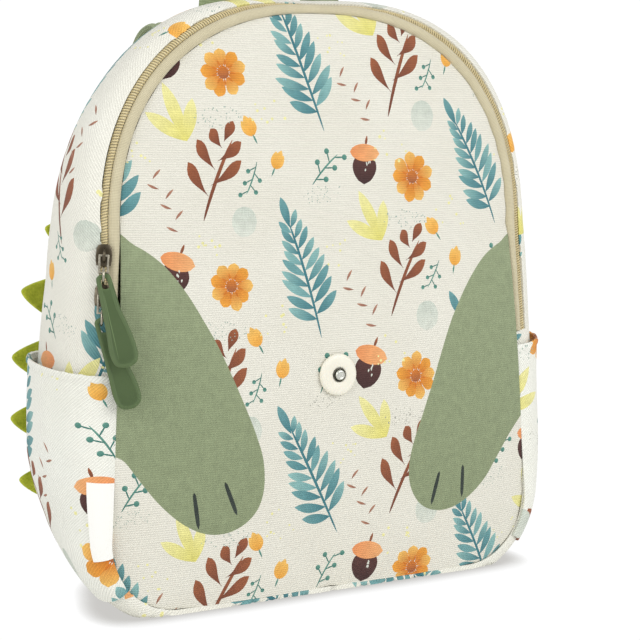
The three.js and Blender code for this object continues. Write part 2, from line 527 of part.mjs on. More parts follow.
for (const [word, side] of [['left', -1], ['right', 1]]) {
  const rows = [...Array(STRAP_ROWS + 1).keys()].map((k) => strapFrame(side, k / STRAP_ROWS));
  const face = (sign) => rows.map(({ middle, wide, out }, i) => STRAP_SECTION.map((k) => middle.clone()
    .addScaledVector(wide, (k * strapWidth(i / STRAP_ROWS)) / 2).addScaledVector(out, sign * padding(k))));
  add(`strap_${word}`, sheet(face(1), face(-1)), SAGE);

  // webbing from the strap's lower end to the bag's lower back seam
  const end = strapFrame(side, 1);
  const start = end.middle.clone().addScaledVector(end.down, 2 * CLEARANCE);
  const landing = V(side * WEBBING_END_X, backFaceAt(WEBBING_END_X - WEBBING_WIDTH / 2, WEBBING_END + WEBBING_THICKNESS) + CLEARANCE, WEBBING_END);
  const course = new THREE.CubicBezierCurve3(start, start.clone().addScaledVector(end.down, WEBBING_LEAVE), landing.clone().add(V(0, WEBBING_LAND, 0)), landing);
  const band = [...Array(9).keys()].map((k) => {
    const middle = course.getPoint(k / 8);
    const down = course.getTangent(k / 8);
    const wide = V(1, 0, 0).addScaledVector(down, -down.x).normalize();
    return { middle, wide, out: wide.clone().cross(down) };
  });
  const flat = (sign) => band.map(({ middle, wide, out }) => [-0.5, 0.5].map((k) => middle.clone()
    .addScaledVector(wide, k * WEBBING_WIDTH).addScaledVector(out, (sign * WEBBING_THICKNESS) / 2)));
  add(`strap_webbing_${word}`, sheet(flat(1), flat(-1)), SAGE);

  // fins, sewn to the strap's outer edge
  const firstFin = strapShareAt(FIN_TOP);
  const lastFin = 1 - ((FIN_BASE * FIN_SIZES[(FIN_COUNT - 1) % FIN_SIZES.length]) / 2 + FIN_END_ROOM) / strapLength;
  for (let k = 0; k < FIN_COUNT; k++) {
    const share = lerp(firstFin, lastFin, k / (FIN_COUNT - 1));
    const size = FIN_SIZES[k % FIN_SIZES.length];
    const half = (FIN_BASE * size) / 2;
    const reach = FIN_REACH * size;
    const edge = (at) => {
      const { middle, wide } = strapFrame(side, at);
      return middle.clone().addScaledVector(wide, (side * strapWidth(at)) / 2);
    };
    const ends = [edge(share - half / strapLength), edge(share + half / strapLength)];
    const down = ends[1].clone().sub(ends[0]).normalize();
    const { wide } = strapFrame(side, share);
    const outer = wide.clone().multiplyScalar(side).addScaledVector(down, -side * wide.dot(down)).normalize();
    const root = edge(share);
    root.addScaledVector(outer, Math.max(0, ends[0].clone().sub(root).dot(outer)) + CLEARANCE + FIN_SEAT);
    const shape = new THREE.Shape();
    shape.moveTo(-half, 0);
    shape.bezierCurveTo(-half * 0.7, reach * 0.45, -half * 0.35, reach * 0.85, -half * 0.12, reach * 0.97);
    shape.quadraticCurveTo(0, reach * 1.03, half * 0.12, reach * 0.97);
    shape.bezierCurveTo(half * 0.4, reach * 0.85, half * 0.75, reach * 0.45, half, 0);
    const fin = new THREE.ExtrudeGeometry(shape, { depth: FIN_THICKNESS, bevelEnabled: false, curveSegments: 3 })
      .translate(0, 0, -FIN_THICKNESS / 2);
    const normal = down.clone().cross(outer);
    add(`fin_${word}_${k + 1}`, fin, FELT, new THREE.Matrix4().makeBasis(down, outer, normal).setPosition(root));
  }
}

// Carrying handle: a flat band sewn to the top of the back, which twists a quarter turn up to its crown
const loopZ = BACK_TOP - LOOP_DROP;
const loopY = backFaceAt((LOOP_SPAN - LOOP_WIDTH) / 2, loopZ) + CLEARANCE + LOOP_THICKNESS / 2;
const loopCourse = new THREE.CatmullRomCurve3([
  [-0.5, 0, 0], [-0.5, LOOP_FOOT, 0], [-0.38, LOOP_FOOT, 0.7], [0, LOOP_FOOT, 1],
  [0.38, LOOP_FOOT, 0.7], [0.5, LOOP_FOOT, 0], [0.5, 0, 0],
].map(([side, foot, rise]) => V(side * LOOP_SPAN, loopY, loopZ + foot + rise * LOOP_RISE)), false, 'centripetal');
const LOOP_ROWS = 30;
const loopRows = [...Array(LOOP_ROWS + 1).keys()].map((k) => {
  const middle = loopCourse.getPointAt(k / LOOP_ROWS);
  const along = loopCourse.getTangentAt(k / LOOP_ROWS);
  const turn = Math.PI * THREE.MathUtils.smoothstep(k / LOOP_ROWS, 0.18, 0.82);
  const wide = V(Math.cos(turn), Math.sin(turn), 0);
  wide.addScaledVector(along, -wide.dot(along)).normalize();
  return { middle, wide, out: along.clone().cross(wide) };
});
const loopFace = (sign) => loopRows.map(({ middle, wide, out }) => [-0.5, 0.5].map((k) => middle.clone()
  .addScaledVector(wide, k * LOOP_WIDTH).addScaledVector(out, (sign * LOOP_THICKNESS) / 2)));
add('haul_loop', sheet(loopFace(-1), loopFace(1)), SAGE);

export default group;
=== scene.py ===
# A small child's backpack in printed canvas, standing on its base and zipped shut.
import math
import random

import bmesh
import bpy
import numpy as np
from mathutils import Matrix, Vector
from mathutils.geometry import delaunay_2d_cdt


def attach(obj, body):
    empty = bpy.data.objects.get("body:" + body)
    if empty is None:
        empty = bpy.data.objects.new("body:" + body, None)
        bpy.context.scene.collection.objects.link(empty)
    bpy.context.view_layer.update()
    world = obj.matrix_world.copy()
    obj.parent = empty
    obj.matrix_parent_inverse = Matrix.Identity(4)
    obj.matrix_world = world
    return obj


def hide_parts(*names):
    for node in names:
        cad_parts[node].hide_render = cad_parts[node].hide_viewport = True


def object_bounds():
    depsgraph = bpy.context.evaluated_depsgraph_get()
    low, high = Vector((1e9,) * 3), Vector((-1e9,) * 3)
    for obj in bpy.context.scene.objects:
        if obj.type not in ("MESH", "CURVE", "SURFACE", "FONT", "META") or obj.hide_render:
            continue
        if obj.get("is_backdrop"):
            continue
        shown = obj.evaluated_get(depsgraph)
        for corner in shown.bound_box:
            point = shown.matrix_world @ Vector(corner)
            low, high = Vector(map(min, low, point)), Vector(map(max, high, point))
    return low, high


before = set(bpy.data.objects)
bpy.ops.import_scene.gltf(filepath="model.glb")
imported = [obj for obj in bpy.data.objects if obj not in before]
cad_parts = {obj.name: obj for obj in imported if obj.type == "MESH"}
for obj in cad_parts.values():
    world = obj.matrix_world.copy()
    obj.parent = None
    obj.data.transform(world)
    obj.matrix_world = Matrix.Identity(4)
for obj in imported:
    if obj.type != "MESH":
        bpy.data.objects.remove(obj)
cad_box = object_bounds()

MM = 0.001


def linear(red, green, blue):
    """A colour as seen on a screen, 0 to 255, as Blender's light values."""
    return tuple(c / 12.92 if c <= 0.04045 else ((c + 0.055) / 1.055) ** 2.4
                 for c in (red / 255, green / 255, blue / 255))


def placed(x_axis, y_axis, z_axis, origin):
    """A placing from three axes and an origin in millimetres."""
    place = Matrix((x_axis, y_axis, z_axis)).transposed().to_4x4()
    place.translation = Vector(origin) * MM
    return place


class Surface:
    """A material, with short ways to add its shader's nodes and to wire them."""

    def __init__(self, name, roughness, **sockets):
        self.material = bpy.data.materials.new(name)
        self.material.use_nodes = True
        self.tree = self.material.node_tree
        self.shader = self.tree.nodes["Principled BSDF"]
        for socket, value in {"Roughness": roughness, **sockets}.items():
            self.shader.inputs[socket.replace("_", " ")].default_value = value

    def node(self, kind, inputs=None, out=0, **settings):
        """Adds a node, its inputs being values or other nodes' outputs, and gives one output."""
        made = self.tree.nodes.new("ShaderNode" + kind)
        for key, value in settings.items():
            setattr(made, key, value)
        for key, value in (inputs or {}).items():
            if isinstance(value, bpy.types.NodeSocket):
                self.tree.links.new(value, made.inputs[key])
            else:
                made.inputs[key].default_value = value
        return made.outputs[out]

    def place(self):
        """Object coordinates."""
        return self.node("TexCoord", out=3)

    def sheet(self, layer="cloth"):
        return self.node("UVMap", uv_map=layer)

    def mapped(self, where, **change):
        return self.node("Mapping", {"Vector": where, **change})

    def noise(self, where, scale, detail=2.0, **more):
        return self.node("TexNoise", {"Vector": where, "Scale": scale, "Detail": detail, **more})

    def bands(self, where, scale, distortion, axis, detail=2.0, detail_scale=1.0):
        inputs = {"Vector": where, "Scale": scale, "Distortion": distortion, "Detail": detail,
                  "Detail Scale": detail_scale}
        return self.node("TexWave", inputs, out=1, wave_type="BANDS", bands_direction=axis)

    def work(self, operation, *values):
        return self.node("Math", dict(enumerate(values)), operation=operation)

    def span(self, value, low=0.0, high=1.0, to_low=0.0, to_high=1.0):
        return self.node("MapRange", {0: value, 1: low, 2: high, 3: to_low, 4: to_high})

    def mix(self, factor, low, high):
        """A colour between two, which are colours or other nodes' outputs."""
        ends = [end if isinstance(end, bpy.types.NodeSocket) else (*end, 1) for end in (low, high)]
        return self.node("Mix", {"Factor": factor, 6: ends[0], 7: ends[1]}, out=2, data_type="RGBA")

    def bump(self, strength, depth, height):
        return self.node("Bump", {"Strength": strength, "Distance": depth * MM, "Height": height})

    def wire(self, **links):
        """Wires outputs to the shader's own sockets and gives the material."""
        for socket, value in links.items():
            self.tree.links.new(value, self.shader.inputs[socket.replace("_", " ")])
        return self.material


# Camera, floor and light: a studio shot from the bag's left front, a little above it,
# on a pale floor. A broad soft light stands at the front right and the room fills in.
VIEW_TURN, VIEW_DROP, VIEW_ROLL = (math.radians(angle) for angle in (30.9, 8.6, 1.34))
CAMERA_PLACE, LENS = (-474.4, -812.4, 282.6), 99.4
ROOM_LIGHT, SEEN_WHITE = 0.66, 1.05
LIGHTS = (  # name, place and aim in metres, size, power
    ("key_light", (0.75, -1.5, 0.95), (0, 0, 0.13), 1.0, 12.5),
    ("left_light", (-1.5, -0.5, 0.9), (0, 0, 0.16), 1.2, 10.0),
)
flat_way = Vector((math.sin(VIEW_TURN), math.cos(VIEW_TURN), 0))
forward = flat_way * math.cos(VIEW_DROP) - Vector((0, 0, math.sin(VIEW_DROP)))
level = Vector((math.cos(VIEW_TURN), -math.sin(VIEW_TURN), 0))
upward = level.cross(forward)
right = level * math.cos(VIEW_ROLL) + upward * math.sin(VIEW_ROLL)
upward = upward * math.cos(VIEW_ROLL) - level * math.sin(VIEW_ROLL)
camera = bpy.data.objects.new("camera", bpy.data.cameras.new("camera"))
camera.data.lens = LENS
camera.data.clip_end = 50
camera.matrix_world = placed(right, upward, -forward, CAMERA_PLACE)
bpy.context.collection.objects.link(camera)
bpy.context.scene.camera = camera
bpy.context.scene.view_settings.view_transform = "Standard"

world = bpy.context.scene.world or bpy.data.worlds.new("room")
bpy.context.scene.world = world
world.use_nodes = True
sky = world.node_tree.nodes["Background"]
sky.inputs["Color"].default_value = (1, 1, 1, 1)
ray = world.node_tree.nodes.new("ShaderNodeLightPath")
dimmed = world.node_tree.nodes.new("ShaderNodeMapRange")
dimmed.inputs[3].default_value = ROOM_LIGHT
dimmed.inputs[4].default_value = SEEN_WHITE
world.node_tree.links.new(ray.outputs["Is Camera Ray"], dimmed.inputs[0])
world.node_tree.links.new(dimmed.outputs[0], sky.inputs["Strength"])
for name, place, aim, size, power in LIGHTS:
    light = bpy.data.objects.new(name, bpy.data.lights.new(name, "AREA"))
    light.data.size = size
    light.data.energy = power
    light.location = place
    light.rotation_euler = (Vector(aim) - Vector(place)).to_track_quat("-Z", "Y").to_euler()
    bpy.context.collection.objects.link(light)

bpy.ops.object.select_all(action="DESELECT")
bpy.ops.mesh.primitive_plane_add(size=30, location=(0, 8, -0.0004))
floor = bpy.context.object
floor.name = "floor"
# the sweep is burnt out to white, and only the contact shadow is left of it
pale = Surface("pale_floor", 0.9, Specular_IOR_Level=0.0)
seen = pale.node("LightPath")
shade = pale.span(pale.node("AmbientOcclusion", {"Distance": 0.014}, out=1, samples=12), 0.45, 0.97)
floor.data.materials.append(pale.wire(
    Base_Color=pale.mix(seen, (0.9, 0.9, 0.89), (0, 0, 0)),
    Emission_Color=pale.mix(shade, (0.58, 0.57, 0.55), (1, 1, 1)),
    Emission_Strength=pale.work("MULTIPLY", seen, 1.03)))
floor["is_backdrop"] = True

# Front panel: one piece of ribbed cotton canvas with an all-over print and two plain
# green paws. It is sewn into the front seam all round and domed by what fills the bag.
PANEL_WIDTH, PANEL_HEIGHT, PANEL_TAPER = 254, 300, 20
ARCH_START, ARCH_POWER, FRONT_CORNER, SEAM_RISE = 188, 2.31, 38, 2.5
PANEL_DOME, DOME_EDGE, PUCKERS = 9, 2.6, 61
BASE_DEPTH, TOP_DEPTH = 76, 53
CLEARANCE, CANVAS = 0.3, 1.6


def ease(t):
    """From 0 to 1 with a soft start and end."""
    t = np.clip(t, 0, 1)
    return t * t * (3 - 2 * t)


def unit(rows):
    return rows / np.linalg.norm(rows, axis=-1, keepdims=True)


def walked(line):
    """How far along a line each of its points lies."""
    return np.concatenate([[0], np.cumsum(np.linalg.norm(np.diff(line, axis=0), axis=1))])


def read_line(at, walk, line):
    """Reads points in space off a line, at places along it."""
    return np.stack([np.interp(at, walk, line[:, k]) for k in range(3)], 1)


def soft(x, y, wave, seed):
    """Slow waves over a sheet, from -1 to 1, the same each time."""
    phase = np.random.RandomState(seed).uniform(0, 2 * math.pi, 6)
    total = 0
    for k in range(6):
        turn = math.pi * k / 6 + phase[k] * 0.1
        across = x * math.cos(turn) + y * math.sin(turn)
        total = total + np.sin(across * 2 * math.pi / (wave * (1 + 0.13 * k)) + phase[k])
    return total / 3


class Seam:
    """A seam line in its plane, walked anticlockwise from the middle of its lower edge."""

    def __init__(self, corner, rise, arch_start, arch_power, top):
        low, high = PANEL_WIDTH / 2, (PANEL_WIDTH - PANEL_TAPER) / 2
        turn = np.linspace(0, math.pi / 2, 61)[1:]
        x = [0, low - corner, *(low - corner + corner * np.sin(turn))]
        z = [rise, rise, *(rise + corner * (1 - np.cos(turn)))]
        turn = np.linspace(0, math.pi / 2, 241)
        x += [*(high * np.clip(np.cos(turn), 0, 1) ** (2 / arch_power))]
        z += [*(arch_start + (top - arch_start) * np.sin(turn) ** (2 / arch_power))]
        x[-1] = 0
        self.x = np.array(x + [-side for side in x[-2::-1]])
        self.z = np.array(z + z[-2::-1])
        self.length = np.concatenate([[0], np.cumsum(np.hypot(np.diff(self.x), np.diff(self.z)))])
        self.total = self.length[-1]

    def at(self, share):
        want = np.mod(share, 1.0) * self.total
        return np.interp(want, self.length, self.x), np.interp(want, self.length, self.z)

    def share_at(self, height, side):
        k = int(np.argmax(self.z >= height))
        part = (height - self.z[k - 1]) / (self.z[k] - self.z[k - 1])
        share = (self.length[k - 1] + part * (self.length[k] - self.length[k - 1])) / self.total
        return share if side > 0 else 1 - share


def reach_towards(line, height):
    """A function for how far a closed line lies from a middle point, towards any spot."""
    away = line - (0, height)
    turn, far = np.arctan2(*away.T), np.hypot(*away.T)
    return lambda x, z: np.interp(np.arctan2(x, z - height), turn, far, period=2 * math.pi)


def drawn_in(line, height, by):
    """A closed line moved towards its middle point."""
    away = line - (0, height)
    return line - away / np.hypot(*away.T)[:, None] * by


def front_y(z):
    return -BASE_DEPTH / 2 + (BASE_DEPTH - TOP_DEPTH) * z / PANEL_HEIGHT


front_seam = Seam(FRONT_CORNER, SEAM_RISE, SEAM_RISE + ARCH_START, ARCH_POWER, SEAM_RISE + PANEL_HEIGHT)
PANEL_MIDDLE = SEAM_RISE + PANEL_HEIGHT * 0.48
panel_lean = math.atan((BASE_DEPTH - TOP_DEPTH) / PANEL_HEIGHT)
PANEL_NORMAL = np.array([0, -math.cos(panel_lean), -math.sin(panel_lean)])
panel_reach = reach_towards(np.stack([front_seam.x, front_seam.z], 1), PANEL_MIDDLE)


def on_panel(flat):
    """Places points of the flat cloth on the domed panel, in millimetres."""
    x, z = flat[:, 0], flat[:, 1]
    reach = panel_reach(x, z)
    rho = np.clip(np.hypot(x, z - PANEL_MIDDLE) / reach, 0, 1)
    in_from_edge = (1 - rho) * reach
    height = PANEL_DOME * (1 - rho ** DOME_EDGE) ** 0.85
    height += 0.55 * soft(x, z, 95, 3) * (1 - rho ** 4)
    # the stitches draw the cloth in along the seam, and its edge turns down into it
    pucker = np.sin(np.arctan2(x, z - PANEL_MIDDLE) * PUCKERS + 2 * soft(x, z, 60, 5))
    height += 0.28 * pucker * np.exp(-in_from_edge / 7)
    height -= 0.4 * np.exp(-in_from_edge / 0.9)
    return np.stack([x, front_y(z), z], 1) + PANEL_NORMAL * height[:, None]


TEAL = (linear(62, 124, 134), linear(112, 164, 166), linear(146, 192, 188))
RUST = (linear(112, 60, 42), linear(160, 92, 56))
DARK = (linear(62, 34, 34), linear(92, 54, 48))
AMBER = (linear(214, 122, 34), linear(240, 168, 62), linear(246, 196, 102))
LEMON = (linear(228, 220, 118), linear(242, 237, 168))
FERN = (linear(62, 122, 112), linear(104, 158, 142))
ROSE = (linear(150, 98, 78), linear(186, 136, 112))
MIST = (linear(206, 214, 202), linear(222, 226, 214))
PEACH = (linear(236, 150, 92), linear(244, 180, 120))
PAW = (linear(142, 154, 118), linear(150, 162, 126))
TOE = (linear(44, 54, 48), linear(52, 62, 56))


def petal(start, turn, length, width, inks, bend=0.0, fullest=0.55, blunt=0.7):
    """One brush stroke: a leaf, petal or stem from its root, with its own direction."""
    t = np.linspace(0, 1, 11) ** 1.15
    spread = np.sin(math.pi * t ** (math.log(0.5) / math.log(fullest))) ** blunt * width / 2
    spread[0] = spread[-1] = min(width, 0.6) * 0.2
    ahead, aside = t * length, bend * length * t * t
    left = np.stack([aside - spread, ahead], 1)
    away = np.stack([aside + spread, ahead], 1)[::-1]
    c, s = math.cos(turn), math.sin(turn)
    spun = np.concatenate([left, away]) @ np.array([[c, -s], [s, c]])
    return dict(outline=spun + start, root=np.array(start, float), way=np.array([s, c]),
                length=length, inks=inks)


def blob(middle, radius, inks, tall=1.0, corners=18, rough=0.0, seed=0):
    """A round dab of colour."""
    turn = np.arange(corners) * 2 * math.pi / corners
    wobble = 1 + rough * np.random.RandomState(seed).uniform(-1, 1, corners)
    outline = np.stack([np.sin(turn) * radius * wobble, np.cos(turn) * radius * tall * wobble], 1)[::-1]
    root = np.array([middle[0], middle[1] - radius * tall])
    return dict(outline=outline + middle, root=root, way=np.array([0.0, 1.0]),
                length=2 * radius * tall, inks=inks)


def frond(dice):
    """A feather-like fern leaf."""
    parts, bend = [], dice.uniform(-0.1, 0.1)
    for k in range(9):
        t = k / 8.5
        reach = 19 * (1 - 0.62 * t) * (0.72 + 0.28 * min(1, 4 * t + 0.2))
        for side in (-1, 1):
            inks = (TEAL[dice.choice((0, 0, 1))], TEAL[dice.choice((1, 2))])
            start = (bend * 44 * t * t + 0.3 * side, -26 + 44 * t + 1.2 * side)
            turn = side * (1.12 - 0.42 * t) + dice.uniform(-0.08, 0.08)
            long = reach * dice.uniform(0.92, 1.06)
            parts.append(petal(start, turn, long, 4.6 * (1 - 0.35 * t), inks, bend=-0.12 * side))
    parts.append(petal((bend * 44, 17), bend, 14, 4.2, (TEAL[0], TEAL[1])))
    parts.append(petal((-0.2, -36), 0.02, 56, 1.3, (TEAL[0], TEAL[0]), bend=bend, blunt=0.25))
    return parts


def daisy(dice):
    """A round bloom seen from above."""
    parts = []
    for k in range(9):
        turn = k * 2 * math.pi / 9 + dice.uniform(-0.07, 0.07)
        long, tip = 9.2 * dice.uniform(0.9, 1.06), AMBER[1 if k % 2 else 2]
        parts.append(petal((math.sin(turn) * 2.2, math.cos(turn) * 2.2), turn, long, 6.0, (AMBER[0], tip),
                           fullest=0.66, blunt=0.6))
    for k in range(9):
        turn = (k + 0.5) * 2 * math.pi / 9
        start = (math.sin(turn) * 2.4, math.cos(turn) * 2.4)
        parts.append(petal(start, turn, 3.6, 1.0, (AMBER[0], AMBER[0])))
    parts.append(blob((0, 0), 2.9, (RUST[1], AMBER[0]), rough=0.08, seed=1))
    return parts


def bud(dice):
    """A small closed flower on a short stalk."""
    flower = [petal((0, -5), turn, length, 4.4, (AMBER[1], AMBER[2]), bend=-turn * 0.3, fullest=0.5)
              for turn, length in ((-0.42, 8.5), (0.42, 8.2), (0.02, 9.8))]
    return flower + [petal((0, -9), 0, 4.6, 0.9, FERN)]


def acorn(dice):
    """A nut in its cup, with a few specks where the brush ran dry."""
    nut = petal((0, 4.5), math.pi, 16, 15, (DARK[1], DARK[0]), fullest=0.42, blunt=0.55)
    cup = petal((-9.2, 5.0), math.pi / 2, 18.4, 9.2, PEACH, fullest=0.5, blunt=0.5)
    stalk = petal((0.3, 8), 0.15, 6, 1.5, RUST)
    specks = [petal((dice.uniform(0, 4), dice.uniform(-6, 0)), dice.uniform(-0.5, 0.5), 1.6, 0.8,
                    (MIST[1], MIST[1])) for _ in range(5)]
    return [stalk, nut, cup] + specks


def twig(dice):
    """A curved twig with drop-shaped leaves."""
    parts = [petal((0, -19), 0.1, 38, 1.7, RUST, bend=0.1, blunt=0.3)]
    for y, side, length in ((-8, -1, 17), (-3, 1, 18), (4, -1, 15), (8, 1, 14), (14, -1, 9.5)):
        parts.append(petal((0.006 * (y + 19) ** 2 * 0.5, y), side * 0.95, length, 5.4, RUST,
                           bend=-0.2 * side, fullest=0.7, blunt=0.8))
    return parts + [petal((3.8, 17), 0.3, 10, 4.8, RUST, fullest=0.66)]


def blades(dice):
    """Three pale slender leaves."""
    return [petal((0, -12), turn, length, 6.4, LEMON)
            for turn, length in ((-0.5, 22), (0.12, 27), (0.68, 19))]


def berries(dice):
    """A thin stem with small round berries."""
    parts = [petal((0, -9), 0, 19, 0.9, FERN, bend=0.14, blunt=0.3)]
    for k in range(5):
        y, side = -6 + 3.5 * k, -1 if k % 2 else 1
        x = 0.14 * 19 * ((y + 9) / 19) ** 2
        parts.append(petal((x, y), side * 0.9, 4.6, 0.7, (FERN[0], FERN[0]), blunt=0.3))
        parts.append(blob((x + side * 4.2, y + 3.3), 1.35, FERN, corners=10))
    return parts


def dashes(dice):
    """A row of short curved dashes."""
    return [petal((1.4 * math.sin(k * 0.9), -14 + 5.2 * k), 0.95 if k % 2 else -0.95, 5.6, 1.25, ROSE,
                  bend=0.15) for k in range(6)]


def grains(dice):
    """A drift of tiny dots."""
    ink = FERN[0] if dice.random() < 0.6 else DARK[1]
    ink = tuple(0.45 * a + 0.55 * b for a, b in zip(ink, MIST[0]))
    parts = []
    for _ in range(46):
        turn, out = dice.uniform(0, 2 * math.pi), math.sqrt(dice.random())
        x, y = 13 * out * math.sin(turn), 5 * out * math.cos(turn)
        parts.append(blob((x, y + 0.05 * x), dice.uniform(0.24, 0.4), (ink, ink), corners=5))
    return parts


def crumbs(dice):
    """A few pale yellow spots."""
    return [blob((dice.uniform(-11, 11), dice.uniform(-9, 9)), dice.uniform(0.5, 1.0),
                 (LEMON[1], LEMON[1]), corners=7) for _ in range(9)]


def wash(dice):
    """A pale round wash of colour."""
    return [blob((0, 0), 6.4, (MIST[1], MIST[0]), tall=1.1, corners=28, rough=0.03, seed=2)]


# one repeat of the print in millimetres; each column stands half a repeat off the last
REPEAT_WIDTH, REPEAT_HEIGHT, MOTIF_REACH = 110, 106, 48
PRINT_REPEAT = (  # kind, x, y, turn in degrees, size
    (frond, 24, 40, -20, 1.2), (twig, 82, 30, 14, 1.2), (acorn, 62, 90, 12, 1.05), (daisy, 92, 82, 0, 1.15),
    (blades, 64, 60, -35, 1.05), (bud, 10, 92, 20, 1.1), (bud, 104, 56, -30, 1.1), (berries, 36, 87, 30, 1.1),
    (dashes, 58, 18, -28, 1.1), (grains, 86, 60, 8, 1.1), (grains, 36, 74, -12, 0.9),
    (crumbs, 78, 98, 0, 1.0), (crumbs, 6, 10, 0, 0.9), (wash, 100, 8, 0, 1.1),
    (berries, 106, 30, 200, 0.85), (crumbs, 46, 44, 0, 0.8),
)


def scatter(seed, u0, u1, v0, v1, skew, upright=lambda u: 0.0):
    """All the strokes of the print whose motif falls in a stretch of cloth, in millimetres."""
    dice = random.Random(seed)
    strokes = []
    left, below = skew
    columns = range(math.floor((u0 - left) / REPEAT_WIDTH) - 1, math.ceil((u1 - left) / REPEAT_WIDTH) + 1)
    rows = range(math.floor((v0 - below) / REPEAT_HEIGHT) - 2, math.ceil((v1 - below) / REPEAT_HEIGHT) + 2)
    for column, row, motif in ((c, r, m) for c in columns for r in rows for m in PRINT_REPEAT):
        kind, x, y, turn, size = motif
        u = left + column * REPEAT_WIDTH + x
        v = below + (row + (column % 2) / 2) * REPEAT_HEIGHT + y
        turn = math.radians(turn + dice.uniform(-9, 9)) + upright(u)
        grow = size * dice.uniform(0.94, 1.06)
        parts = kind(dice)
        beside = u <= u0 - MOTIF_REACH or u >= u1 + MOTIF_REACH
        if beside or v <= v0 - MOTIF_REACH or v >= v1 + MOTIF_REACH:
            continue
        c, s = math.cos(turn), math.sin(turn)
        spin = np.array([[c, -s], [s, c]]) * grow
        for part in parts:
            strokes.append(dict(part, outline=part["outline"] @ spin + (u, v),
                                root=part["root"] @ spin + (u, v),
                                way=part["way"] @ spin / grow, length=part["length"] * grow))
    return strokes


def mesh_from(name, points, faces):
    """A mesh of points in millimetres."""
    mesh = bpy.data.meshes.new(name)
    mesh.from_pydata((np.asarray(points) * MM).tolist(), [], faces)
    return mesh


def give_uv(mesh, layer, spots):
    """Writes the cloth coordinates of every face corner; one unit is 100 mm of cloth."""
    mesh.uv_layers.new(name=layer).data.foreach_set("uv", (spots * 0.01).astype(np.float32).ravel())


def grid_inside(border, pitch):
    """Evenly spread points inside a closed border, in rows half a step apart, clear of its edge."""
    low, high = border.min(0), border.max(0)
    grid = []
    for j, v in enumerate(np.arange(low[1] + pitch / 2, high[1], pitch * 0.866)):
        us = np.arange(low[0] + (0.5 if j % 2 else 1.0) * pitch, high[0], pitch)
        grid.append(np.stack([us, np.full(len(us), v)], 1))
    grid = np.concatenate(grid)
    inside = np.zeros(len(grid), bool)
    near = np.full(len(grid), 1e9)
    for a, b in zip(border, np.roll(border, -1, 0)):
        crosses = (a[1] > grid[:, 1]) != (b[1] > grid[:, 1])
        with np.errstate(divide="ignore", invalid="ignore"):
            inside ^= crosses & (grid[:, 0] < (b[0] - a[0]) * (grid[:, 1] - a[1]) / (b[1] - a[1]) + a[0])
        span = b - a
        t = np.clip(((grid - a) @ span) / max(span @ span, 1e-12), 0, 1)
        near = np.minimum(near, np.hypot(*(grid - a - t[:, None] * span).T))
    return grid[inside & (near > 0.45 * pitch)]


def printed_mesh(name, border, strokes, pitch, place):
    """A sheet of cloth cut to a border and triangulated along the edges of its print."""
    low, high = border.min(0), border.max(0)
    strokes = [s for s in strokes if (s["outline"].max(0) > low).all() and (s["outline"].min(0) < high).all()]
    points, faces = [*map(tuple, border)], [list(range(len(border)))]
    for stroke in strokes:
        x, y = stroke["outline"].T
        turns_left = (x * np.roll(y, -1) - y * np.roll(x, -1)).sum() > 0
        faces.append(list(range(len(points), len(points) + len(x))))
        points += map(tuple, stroke["outline"] if turns_left else stroke["outline"][::-1])
    points += map(tuple, grid_inside(border, pitch))
    points = [Vector((float(a), float(b))) for a, b in points]
    flat, _, cells, _, _, owners = delaunay_2d_cdt(points, [], faces, 1, 1e-4, True)
    kept = [(cell, max(owner)) for cell, owner in zip(cells, owners) if 0 in owner]
    used = np.unique([i for cell, _ in kept for i in cell])
    index = np.full(len(flat), -1)
    index[used] = np.arange(len(used))
    flat = np.array([(p.x, p.y) for p in flat])[used]
    cells = [[int(index[i]) for i in cell] for cell, _ in kept]
    owner = np.repeat([o for _, o in kept], [len(cell) for cell in cells])
    mesh = mesh_from(name, place(flat), cells)
    at = flat[[i for cell in cells for i in cell]]
    ink = np.zeros((len(at), 4), np.float32)
    brush = np.zeros((len(at), 2))
    for k, stroke in enumerate(strokes, 1):
        mine = owner == k
        along_way = stroke["way"]
        rel = at[mine] - stroke["root"]
        along = rel @ along_way
        aside = rel @ np.array([along_way[1], -along_way[0]])
        part = np.clip(along / stroke["length"], 0, 1)[:, None]
        root, tip = np.array(stroke["inks"])
        ink[mine, :3] = root * (1 - part) + tip * part
        ink[mine, 3] = 1
        brush[mine] = np.stack([aside + 7.3 * (k % 97), along + 3.1 * (k % 89)], 1)
    give_uv(mesh, "cloth", at)
    give_uv(mesh, "brush", brush)
    mesh.color_attributes.new("ink", "FLOAT_COLOR", "CORNER").data.foreach_set("color", ink.ravel())
    mesh.uv_layers.active_index = 0
    mesh.validate()
    return mesh


def added(name, mesh):
    piece = bpy.data.objects.new(name, mesh)
    bpy.context.collection.objects.link(piece)
    return piece


def pick(piece):
    """Makes a piece the only selected one, and the active one."""
    bpy.ops.object.select_all(action="DESELECT")
    bpy.context.view_layer.objects.active = piece
    piece.select_set(True)


def modified(piece, kind, **settings):
    """Gives a piece a modifier and applies it."""
    pick(piece)
    modifier = piece.modifiers.new(kind, kind)
    for key, value in settings.items():
        setattr(modifier, key, value)
    bpy.ops.object.modifier_apply(modifier=kind)


def settle(piece, material, replaced, crease=40):
    """Gives a modelled part its finish and lets it ride on the bag."""
    pick(piece)
    bpy.ops.object.shade_smooth_by_angle(angle=math.radians(crease))
    piece.data.materials.append(material)
    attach(piece, "root")
    if replaced:
        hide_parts(*replaced)
    return piece


def dress(mesh, material, replaced, wall=None):
    """Makes a piece of a mesh and its name, with a wall if it is an open sheet."""
    piece = added(mesh.name, mesh)
    if wall:
        modified(piece, "SOLIDIFY", thickness=wall * MM, offset=-1)
    return settle(piece, material, replaced, crease=50)


RIB = 31.416  # the scale at which a wave texture has one band to the millimetre of cloth


